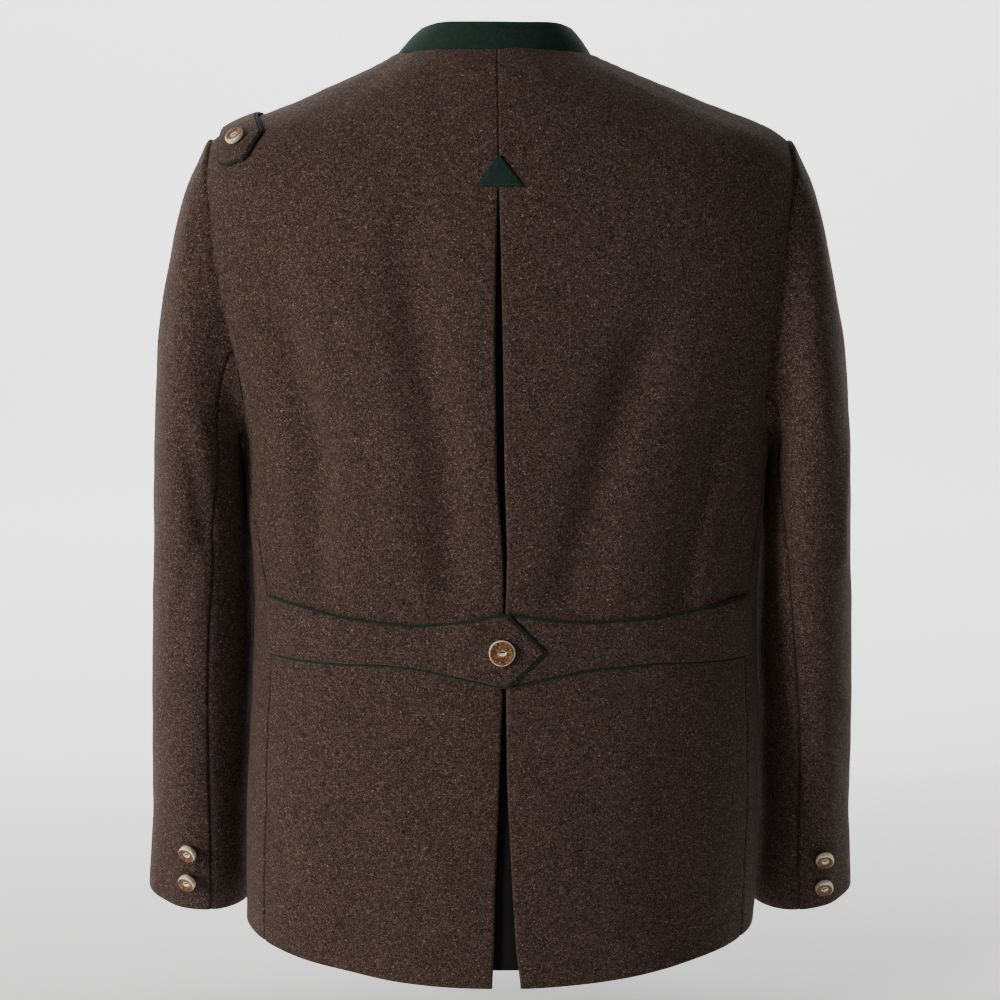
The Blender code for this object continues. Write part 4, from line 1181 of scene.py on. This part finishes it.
# Columns: share of the radius, share of the height
SIDE_RINGS = (
    (0.84, 0.0), (0.93, 0.04), (0.975, 0.16), (0.995, 0.36), (1.0, 0.58), (0.99, 0.80), (0.965, 0.95),
)
BUTTON_SIDES = 56
# Shares of the radius: where the rim starts to fall, its width and drop, then the dish and the hollow
RIM_START = 0.86
RIM_WIDTH = 0.07
RIM_DROP = 0.05
DISH_EASE = 0.30
DISH_DEPTH = 0.07
HOLLOW_REACH = 1.3
HOLLOW_DEPTH = 0.12
BARK_FROM = 0.48
BARK_TO = 0.90
BARK_DEPTH = 0.012
# Columns: waves round the button, waves outwards, share, and how the seed moves each of the two
BARK_WAVES = ((11, 9, 1.0, 1, 2), (17, 14, 0.7, -3, 1))
# Columns: waves round the edge, share of the radius, and how the seed moves them
EDGE_WAVES = ((3, 0.010, 1), (5, 0.006, 2))


def face_height(x, y, seed, eye_size):
    """Height of a button's face as a share of its radius, at places given in shares of its radius."""
    r, turn = np.hypot(x, y), np.arctan2(y, x)
    rim = -RIM_DROP * np.clip((r - RIM_START) / RIM_WIDTH, 0, 1) ** 2
    dish = -DISH_DEPTH * smooth_step((RIM_START - r) / DISH_EASE)
    eye = (x / eye_size[0]) ** 2 + (np.abs(y) / eye_size[1]) ** 1.5
    hollow = -HOLLOW_DEPTH * smooth_step(HOLLOW_REACH - eye)
    bark = sum(
        share * np.sin(around * turn + a * seed) * np.sin(out * r + b * seed)
        for around, out, share, a, b in BARK_WAVES
    )
    return rim + dish + hollow + BARK_DEPTH * bark * (r > BARK_FROM) * (r < BARK_TO)


def button_mesh(name, kind, seed):
    """A staghorn button with its back at the origin and its face up."""
    diameter, height, eye_size, shift = BUTTON_KINDS[kind]
    radius = diameter / 2
    turns = 2 * math.pi * np.arange(BUTTON_SIDES) / BUTTON_SIDES
    circle = np.stack([np.cos(turns), np.sin(turns)])
    edge = circle * (1 + sum(size * np.sin(n * turns + k * seed) for n, size, k in EDGE_WAVES))
    rows, uvs = [], []
    for out, up in SIDE_RINGS:
        rows.append(np.stack([*(radius * out * edge), np.full(BUTTON_SIDES, height * up)], -1))
        uvs.append((2.0 - up) * circle.T)
    for out in FACE_RINGS:
        rows.append(np.stack([
            *(radius * out * edge), height + radius * face_height(*(out * edge), seed, eye_size)], -1))
        uvs.append(out * edge.T)
    middle = height + radius * float(face_height(0.0, 0.0, seed, eye_size))
    verts = np.concatenate([*rows, [[0.0, 0.0, middle]]])
    uv = np.concatenate([*uvs, np.zeros((1, 2))])
    centre = len(verts) - 1
    last_ring = list(range(centre - BUTTON_SIDES, centre))
    faces = [list(range(BUTTON_SIDES))[::-1], *ring_faces(len(rows), BUTTON_SIDES)]
    faces += [[a, b, centre] for a, b in zip(last_ring, last_ring[1:] + last_ring[:1])]
    mesh = bpy.data.meshes.new(name)
    mesh.from_pydata(verts.tolist(), [], faces)
    set_uv(mesh, "button", uv + shift)
    set_uv(mesh, "eye", uv / eye_size)
    mesh.shade_smooth()
    return mesh


# Columns: how far off the eye's middle a strand runs, and how far it lies above the lowest one
STRANDS = ((0.030, 0.000), (0.075, 0.004), (0.120, 0.008))
STRAND_HALF_LENGTH = 0.28
STRAND_WAVE = 0.010
STRAND_DEPTH = 0.20
STRAND_ARCH = 0.07
STRAND_RADIUS = 0.036
STRAND_SIDES = 6
STRAND_POINTS = 15


def thread_routes(radius, height, seed):
    """Routes of the strands of thread across the eye, lying in the hollow's upper half."""
    t = np.linspace(-1.0, 1.0, STRAND_POINTS)
    for index, (offset, above) in enumerate(STRANDS):
        y = offset + STRAND_WAVE * np.sin(3 * t + index + seed)
        z = height / radius - STRAND_DEPTH + STRAND_ARCH * (1 - t**4) + above
        yield np.stack([STRAND_HALF_LENGTH * t, y, z], -1) * radius


def placed(mesh, place, outward, turn):
    """Bakes a place and a direction into a mesh."""
    look = Vector(outward).to_track_quat("Z", "Y").to_matrix().to_4x4()
    mesh.transform(Matrix.Translation(Vector(place)) @ look @ Matrix.Rotation(turn, 4, "Z"))
    return mesh


def join_meshes(name, meshes):
    """One object from several meshes."""
    shape = bmesh.new()
    for mesh in meshes:
        shape.from_mesh(mesh)
    whole = bpy.data.meshes.new(name)
    shape.to_mesh(whole)
    shape.free()
    whole.shade_smooth()
    return add_object(name, whole)


def button_places():
    """Every button: its node, kind, place, outward direction and turn."""
    rows = []

    def on_body(node, kind, angle, ring, lift, turn):
        place, out = body(angle, ring, np.array([lift]))
        rows.append((node, kind, place[0], out[0], turn))

    belt_face = belt_lift(BELT_BUTTON_PLACE[0], True) + BELT_WALL / 2 + LAY_GAP / 2
    place = back_place(*np.array(BELT_BUTTON_PLACE)[:, None])
    on_body("belt_button", "large", *place, belt_face, BUTTON_TURNS["belt"])
    strap_face = CLOTH / 2 + STRAP_GAP + STRAP_WALL + 2 * LAY_GAP
    place = shoulder_place(*np.array(STRAP_BUTTON_PLACE)[:, None])
    on_body("strap_button", "strap", *place, strap_face, BUTTON_TURNS["strap"])
    for side, side_name in SIDES:
        for number, (degrees, ring) in enumerate(CUFF_BUTTON_PLACES[side_name], 1):
            angle = math.radians(degrees)
            here = plain_sleeve(side, ring, angle)
            around = plain_sleeve(side, ring, angle + CUFF_STEP) - here
            down = plain_sleeve(side, ring + CUFF_STEP, angle) - here
            out = unit(np.cross(around, down)) * -side
            place = here + out * (CLOTH / 2 + CUFF_BUTTON_SHANK)
            tipped = unit(out + np.array(CUFF_BUTTON_TIP))
            node = f"cuff_button_{side_name}_{number}"
            rows.append((node, "cuff", place, tipped, BUTTON_TURNS["cuff"] * number))
    for number, height in enumerate(FRONT_BUTTON_HEIGHTS, 1):
        angle, turn = np.array([math.pi]), BUTTON_TURNS["front"] * number
        ring = ring_at(np.array([height]), angle)
        on_body(f"front_button_{number}", "large", angle, ring, CLOTH / 2 + LAY_GAP, turn)
    return rows


buttons = {}
for seed, (node, kind, place, outward, turn) in enumerate(button_places(), 1):
    diameter, height = BUTTON_KINDS[kind][:2]
    radius = diameter / 2
    horn = placed(button_mesh(f"horn_{node}", kind, seed), place, outward, turn)
    piece = add_object(f"horn_{node}", horn)
    tubes = [
        tube_mesh(f"strand_{node}", route, radius * STRAND_RADIUS, STRAND_SIDES)
        for route in thread_routes(radius, height, seed)
    ]
    strands = [placed(tube, place, outward, turn) for tube in tubes]
    buttons[node] = (piece, join_meshes(f"thread_{node}", strands))
print("buttons:", len(buttons))

# %% [markdown]
# Fulled wool has no weave to see. Its colour comes from dyed fibres spun together: mostly dark brown,
# some warm and some greyish, with a few light ones that lie on the surface as short curled flecks. One
# shader group makes that heather from noise at four sizes, and gives a height for the nap as well. The
# brown wool, the green felt and the dark strip each use it with their own colours and scale. Sheen and
# roughness stay on each material's own shader, where the export can read them.

# %% The heather group
NOISE_ROUGHNESS = 0.6
# Columns: scale as a share of the grain, detail, distortion
HEATHER_NOISES = {
    "fibres": (1.0, 3.0, 1.1),
    "clumps": (0.28, 2.0, 0.6),
    "tint": (0.06, 2.0, 0.3),
    "flecks": (1.35, 1.0, 1.6),
}
# Where each noise starts and ends its soft step
MIDDLE_STEP = (0.39, 0.61)
WARM_STEP = (0.40, 0.62)
TINT_STEP = (0.40, 0.68)
CLUMP_STEP = (0.25, 0.75)
FLECKS_FROM = 0.80
FLECK_STEP = 0.10


def add_sockets(group, direction, kind, *names):
    """Named inputs or outputs of one kind for a node group."""
    for name in names:
        group.interface.new_socket(name=name, in_out=direction, socket_type=f"NodeSocket{kind}")


def reckon(tree, operation, first, second):
    """One step of arithmetic on two values."""
    return put(tree, "ShaderNodeMath", {0: first, 1: second}, operation=operation).outputs[0]


def noise(tree, place, scale, detail, distortion=0.0, roughness=NOISE_ROUGHNESS):
    """A value from 0 to 1 that changes over the surface."""
    return put(tree, "ShaderNodeTexNoise", {
        "Vector": place, "Scale": scale, "Detail": detail, "Roughness": roughness,
        "Distortion": distortion,
    }).outputs["Fac"]


def ramp(tree, value, low, high):
    """A soft step from 0 at a low value to 1 at a high one."""
    inputs = {"Value": value, "From Min": low, "From Max": high}
    return put(tree, "ShaderNodeMapRange", inputs, interpolation_type="SMOOTHSTEP").outputs["Result"]


def mix(tree, share, first, second, blend="MIX"):
    """A blend of two colours. A Mix node's colour inputs are its sockets 6 and 7."""
    inputs = {"Factor": share, 6: first, 7: second}
    return put(tree, "ShaderNodeMix", inputs, data_type="RGBA", blend_type=blend).outputs[2]


def heather_group():
    """Colour and height of a felted cloth, from noise on the object's own coordinates."""
    tree = bpy.data.node_groups.new("heather", "ShaderNodeTree")
    add_sockets(tree, "INPUT", "Color", "Dark", "Middle", "Light", "Warm")
    add_sockets(tree, "INPUT", "Float", "Grain", "Fleck Share", "Contrast")
    add_sockets(tree, "OUTPUT", "Color", "Colour")
    add_sockets(tree, "OUTPUT", "Float", "Height")
    given = put(tree, "NodeGroupInput").outputs
    place = put(tree, "ShaderNodeTexCoord").outputs["Object"]
    fibres, clumps, tint, flecks = (
        noise(tree, place, reckon(tree, "MULTIPLY", given["Grain"], share), detail, distortion)
        for share, detail, distortion in HEATHER_NOISES.values()
    )
    base = mix(tree, ramp(tree, fibres, *MIDDLE_STEP), given["Dark"], given["Middle"])
    warm = mix(tree, ramp(tree, fibres, *WARM_STEP), given["Dark"], given["Warm"])
    base = mix(tree, ramp(tree, tint, *TINT_STEP), base, warm)
    base = mix(tree, given["Contrast"], base, ramp(tree, clumps, *CLUMP_STEP), "MULTIPLY")
    threshold = reckon(tree, "SUBTRACT", FLECKS_FROM, given["Fleck Share"])
    fleck_mask = ramp(tree, flecks, threshold, reckon(tree, "ADD", threshold, FLECK_STEP))
    put(tree, "NodeGroupOutput", {
        "Colour": mix(tree, fleck_mask, base, given["Light"]),
        "Height": reckon(tree, "ADD", fibres, clumps),
    })
    return tree


HEATHER = heather_group()
print("heather group:", len(HEATHER.nodes), "nodes")

# %% Cloth materials
NAP_HEIGHT = 0.0006
# How dark the painted shade at the bottom of a seam's groove makes the cloth's colour
PAINTED_SEAM_DARKNESS = 0.25
CLOTH_ROUGHNESS = 0.92
CLOTH_SPECULAR = 0.25
SHEEN_ROUGHNESS = 0.55


def cloth_material(name, colours, grain, fleck_share, contrast, bump, sheen, sheen_tint):
    """A felted cloth with its own colours (dark, middle, light, warm), grain and sheen, darkened by
    painted shade in its seams.
    """
    material, tree, shader = new_material(name)
    heather = put(tree, "ShaderNodeGroup", node_tree=HEATHER)
    fill(tree, heather, dict(zip(("Dark", "Middle", "Light", "Warm"), colours)))
    fill(tree, heather, {"Grain": grain, "Fleck Share": fleck_share, "Contrast": contrast})
    nap = put(tree, "ShaderNodeBump", {
        "Height": heather.outputs["Height"], "Strength": bump, "Distance": NAP_HEIGHT})
    # Painted shade: the colour is darkened where the seam attribute says a point lies in a seam's groove
    seam = put(tree, "ShaderNodeAttribute", attribute_name="seam", attribute_type="GEOMETRY")
    shade = put(tree, "ShaderNodeMapRange", {
        "Value": seam.outputs["Fac"], "To Min": 1.0, "To Max": PAINTED_SEAM_DARKNESS}).outputs["Result"]
    fill(tree, shader, {
        "Base Color": mix(tree, 1.0, heather.outputs["Colour"], shade, "MULTIPLY"),
        "Normal": nap.outputs["Normal"],
        "Roughness": CLOTH_ROUGHNESS,
        "Specular IOR Level": CLOTH_SPECULAR,
        "Sheen Weight": sheen,
        "Sheen Roughness": SHEEN_ROUGHNESS,
        "Sheen Tint": sheen_tint,
    })
    return material


brown_wool = cloth_material(
    "brown_wool_cloth",
    (
        (0.0090, 0.0047, 0.0045), (0.0680, 0.0375, 0.0310),
        (0.2600, 0.1720, 0.1380), (0.0740, 0.0405, 0.0270),
    ),
    grain=740.0, fleck_share=0.19, contrast=0.52, bump=0.75, sheen=0.08, sheen_tint=(0.62, 0.45, 0.36),
)
green_felt = cloth_material(
    "green_felt_cloth",
    (
        (0.0035, 0.0120, 0.0090), (0.0085, 0.0270, 0.0200),
        (0.0180, 0.0480, 0.0380), (0.0080, 0.0260, 0.0180),
    ),
    grain=900.0, fleck_share=0.12, contrast=0.30, bump=0.40, sheen=0.06, sheen_tint=(0.30, 0.55, 0.45),
)
# Near-black colours for the strip behind the pleat, which shows in the pleat's gap and its vent
dark_cloth = cloth_material(
    "dark_strip_cloth",
    (
        (0.0020, 0.0018, 0.0018), (0.0050, 0.0042, 0.0042),
        (0.0090, 0.0080, 0.0080), (0.0050, 0.0042, 0.0042),
    ),
    grain=800.0, fleck_share=0.10, contrast=0.30, bump=0.30, sheen=0.0, sheen_tint=(1.0, 1.0, 1.0),
)
print("cloth materials:", [m.name for m in (brown_wool, green_felt, dark_cloth)])

# %% [markdown]
# Staghorn isn't painted: the colours lie where the slice cut them. Two shares decide which one shows,
# the distance from the eye and the distance from the rim, both read from the button's own UV maps. The
# bark between them is noise at two sizes. The thread is one plain colour with a fine change of shade.

# %% Staghorn and thread
# Columns: scale, detail, distortion, start and end of the soft step
BARK_NOISE = (700.0, 3.0, 0.9, 0.42, 0.60)
AMBER_NOISE = (1000.0, 2.0, 1.4, 0.56, 0.66)
CREAM_NOISE = (500.0, 2.0, 0.5, 0.35, 0.70)
BARK_COLOURS = ((0.016, 0.005, 0.002), (0.150, 0.050, 0.013))
AMBER = (0.560, 0.290, 0.095)
CREAM_COLOURS = ((0.600, 0.500, 0.310), (0.860, 0.800, 0.620))
EYE_STEP = (0.88, 1.05)
RIM_STEP = (0.93, 0.99)
# Columns: scale, detail, distortion, roughness
HORN_GRAIN = (1100.0, 3.0, 0.0, 0.5)
HORN_GRAIN_STRENGTH = 0.4
HORN_GRAIN_HEIGHT = 0.0004
HORN_ROUGHNESS = 0.42
HORN_SPECULAR = 0.35
THREAD_GRAIN = (2500.0, 1.0, 0.0, 0.5)
THREAD_SHADES = (0.55, 1.45)
THREAD_ROUGHNESS = 0.6


def staghorn_material():
    """Cream core in the eye, mottled brown bark round it and a cream side, from the button's own UV."""
    material, tree, shader = new_material("staghorn_slice")
    place = put(tree, "ShaderNodeTexCoord").outputs["Object"]

    def spots(scale, detail, distortion, low, high):
        return ramp(tree, noise(tree, place, scale, detail, distortion), low, high)

    def far_out(layer, low, high):
        where = put(tree, "ShaderNodeUVMap", uv_map=layer).outputs["UV"]
        length = put(tree, "ShaderNodeVectorMath", {0: where}, operation="LENGTH").outputs["Value"]
        return ramp(tree, length, low, high)

    bark = mix(tree, spots(*BARK_NOISE), *BARK_COLOURS)
    bark = mix(tree, spots(*AMBER_NOISE), bark, AMBER)
    cream = mix(tree, spots(*CREAM_NOISE), *CREAM_COLOURS)
    face = mix(tree, far_out("eye", *EYE_STEP), cream, bark)
    relief = put(tree, "ShaderNodeBump", {
        "Height": noise(tree, place, *HORN_GRAIN),
        "Strength": HORN_GRAIN_STRENGTH,
        "Distance": HORN_GRAIN_HEIGHT,
    })
    fill(tree, shader, {
        "Base Color": mix(tree, far_out("button", *RIM_STEP), face, cream),
        "Normal": relief.outputs["Normal"],
        "Roughness": HORN_ROUGHNESS,
        "Specular IOR Level": HORN_SPECULAR,
    })
    return material


def thread_material(name, colour):
    """Twisted thread: a fine change of shade and a soft gloss."""
    material, tree, shader = new_material(name)
    place = put(tree, "ShaderNodeTexCoord").outputs["Object"]
    dark, light = THREAD_SHADES
    shade = put(tree, "ShaderNodeMapRange", {
        "Value": noise(tree, place, *THREAD_GRAIN), "To Min": dark, "To Max": light}).outputs["Result"]
    fill(tree, shader, {
        "Base Color": mix(tree, 1.0, colour, shade, "MULTIPLY"), "Roughness": THREAD_ROUGHNESS})
    return material


staghorn = staghorn_material()
green_thread = thread_material("dark_green_thread", (0.010, 0.040, 0.030))
print("button and thread materials:", staghorn.name, green_thread.name)

# %% [markdown]
# The triangle is held by a line of small stitches just inside its edge. Stitches repeat along a path, so
# Geometry Nodes lay them: a curve is resampled at the stitch's pitch, a small rounded stitch is instanced
# on each point, turned along the curve, and the instances are made real. The tree is built here once,
# with named inputs, and its result becomes a plain mesh.

# %% A Geometry Nodes tree for stitches
STITCH_SEGMENTS = 8
STITCH_RINGS = 5


def stitch_tree():
    """Lays rounded stitches along the edges of the mesh that it gets."""
    tree = bpy.data.node_groups.new("stitch_run", "GeometryNodeTree")
    add_sockets(tree, "INPUT", "Geometry", "Path")
    add_sockets(tree, "INPUT", "Float", "Pitch", "Stitch Length", "Thread Radius")
    add_sockets(tree, "INPUT", "Material", "Thread")
    add_sockets(tree, "OUTPUT", "Geometry", "Stitches")
    given = put(tree, "NodeGroupInput").outputs
    curve = put(tree, "GeometryNodeMeshToCurve", {"Mesh": given["Path"]}).outputs["Curve"]
    spaced = put(tree, "GeometryNodeResampleCurve", {"Curve": curve}, mode="LENGTH")
    fill(tree, spaced, {"Length": given["Pitch"]})
    ball = put(tree, "GeometryNodeMeshUVSphere", {
        "Segments": STITCH_SEGMENTS, "Rings": STITCH_RINGS, "Radius": 1.0})
    size = put(tree, "ShaderNodeCombineXYZ", {
        "X": given["Thread Radius"],
        "Y": given["Thread Radius"],
        "Z": reckon(tree, "MULTIPLY", given["Stitch Length"], 0.5),
    })
    tangent = put(tree, "GeometryNodeInputTangent").outputs["Tangent"]
    turned = put(tree, "FunctionNodeAlignEulerToVector", {"Vector": tangent}, axis="Z")
    placed_stitches = put(tree, "GeometryNodeInstanceOnPoints", {
        "Points": spaced.outputs["Curve"],
        "Instance": ball.outputs["Mesh"],
        "Rotation": turned.outputs["Rotation"],
        "Scale": size.outputs["Vector"],
    })
    real = put(tree, "GeometryNodeRealizeInstances", {
        "Geometry": placed_stitches.outputs["Instances"]})
    painted = put(tree, "GeometryNodeSetMaterial", {
        "Geometry": real.outputs["Geometry"], "Material": given["Thread"]})
    put(tree, "NodeGroupOutput", {"Stitches": painted.outputs["Geometry"]})
    return tree


STITCHES = stitch_tree()


def stitch_loop(name, route, sizes):
    """Stitches along a closed route, as a plain mesh. The sizes are given by the tree's input names."""
    count = len(route)
    path = bpy.data.meshes.new(name + "_path")
    path.from_pydata(route.tolist(), [(i, (i + 1) % count) for i in range(count)], [])
    carrier = add_object(name + "_path", path)
    modifier = carrier.modifiers.new("stitches", "NODES")
    modifier.node_group = STITCHES
    for item in STITCHES.interface.items_tree:
        if item.name in sizes:
            modifier[item.identifier] = sizes[item.name]
    ready = carrier.evaluated_get(bpy.context.evaluated_depsgraph_get())
    mesh = bpy.data.meshes.new_from_object(ready)
    mesh.name = name
    mesh.shade_smooth()
    bpy.data.objects.remove(carrier)
    return add_object(name, mesh)


print("stitch tree:", len(STITCHES.nodes), "nodes")

# %% Stitches round the triangle
STITCH_INSET = 0.00352
STITCH_SINK = 0.0001
STITCH_SIZES = {"Pitch": 0.0019, "Stitch Length": 0.0014, "Thread Radius": 0.00017, "Thread": green_thread}
ROUTE_POINTS_PER_SIDE = 11


def triangle_stitch_route():
    """A closed line inside the triangle's edge, on its face."""
    (top, *top_x), (bottom, *bottom_x) = TRIANGLE_ROWS
    corners = np.array([[sum(top_x) / 2, top], [bottom_x[0], bottom], [bottom_x[1], bottom]])
    middle = corners.mean(0)
    reach = np.linalg.norm(corners - middle, axis=1, keepdims=True)
    inner = middle + (corners - middle) * (1 - STITCH_INSET / reach)
    shares = np.arange(ROUTE_POINTS_PER_SIDE)[None, :, None] / ROUTE_POINTS_PER_SIDE
    route = (inner[:, None] + (np.roll(inner, -1, axis=0) - inner)[:, None] * shares).reshape(-1, 2)
    lift = CLOTH / 2 + LAY_GAP + FELT - STITCH_SINK
    return body(*back_place(*route.T), lift)[0]


triangle_stitches = stitch_loop("triangle_stitches", triangle_stitch_route(), STITCH_SIZES)
print("triangle stitches:", len(triangle_stitches.data.polygons), "faces")

# %% [markdown]
# Last, every piece gets its material and rides on the one rigid body, and the imported nodes that the
# pieces cover are hidden. Each cloth piece is also listed with the flat size it was cut to.

# %% Materials, slots and what each piece stands for
MATERIALS = {
    "brown_wool": brown_wool,
    "dark_cloth": dark_cloth,
    "green_felt": green_felt,
    "staghorn": staghorn,
}
# Columns: piece, node it stands for, slot, flat width, flat length, flat area, how it is held
CLOTH_PIECES = (
    ("wool_back_left", "back_left", "brown_wool", 0.30, 0.78, 0.191, "hung"),
    ("wool_back_right", "back_right", "brown_wool", 0.30, 0.78, 0.196, "hung"),
    ("wool_front_left", "front_left", "brown_wool", 0.36, 0.76, 0.218, "hung"),
    ("wool_front_right", "front_right", "brown_wool", 0.35, 0.76, 0.213, "hung"),
    ("wool_sleeve_top_left", "sleeve_top_left", "brown_wool", 0.30, 0.66, 0.128, "hung"),
    ("wool_sleeve_top_right", "sleeve_top_right", "brown_wool", 0.30, 0.66, 0.128, "hung"),
    ("wool_sleeve_under_left", "sleeve_under_left", "brown_wool", 0.14, 0.50, 0.057, "hung"),
    ("wool_sleeve_under_right", "sleeve_under_right", "brown_wool", 0.134, 0.47, 0.055, "hung"),
    ("wool_belt_left", "belt_left", "brown_wool", 0.252, 0.056, 0.0099, "laid"),
    ("wool_belt_right", "belt_right", "brown_wool", 0.244, 0.056, 0.0109, "laid"),
    ("wool_shoulder_tab", "shoulder_strap", "brown_wool", 0.041, 0.153, 0.0048, "laid"),
    ("pleat_strip", "pleat_underlay", "dark_cloth", 0.073, 0.622, 0.0451, "hung"),
    ("felt_collar", "collar", "green_felt", 0.475, 0.030, 0.0114, "stretched"),
    ("felt_triangle_patch", "felt_triangle", "green_felt", 0.037, 0.024, 0.00053, "laid"),
)
# Columns: piece, node it stands for
CORDS = (
    ("belt_left_cord", "belt_left_piping"),
    ("belt_right_cord", "belt_right_piping"),
    ("tab_cord", "strap_piping"),
)


def dress(piece, slot, *covered, material=None):
    """Gives a piece its material, slot and body, and hides the nodes it stands for."""
    piece.data.materials.clear()
    piece.data.materials.append(material or MATERIALS[slot])
    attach(piece, "root")
    if covered:
        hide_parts(*covered)


for name, node, slot, width, length, area, held in CLOTH_PIECES:
    dress(pieces[name], slot, node)
for name, node in CORDS:
    dress(pieces[name], "green_felt", node)
for node, (horn, threads) in buttons.items():
    dress(horn, "staghorn", node)
    dress(threads, "green_felt", material=green_thread)
dress(triangle_stitches, "green_felt", material=green_thread)
left_over = [name for name, node in nodes.items() if not node.hide_render]
print("packed nodes that still show:", left_over)
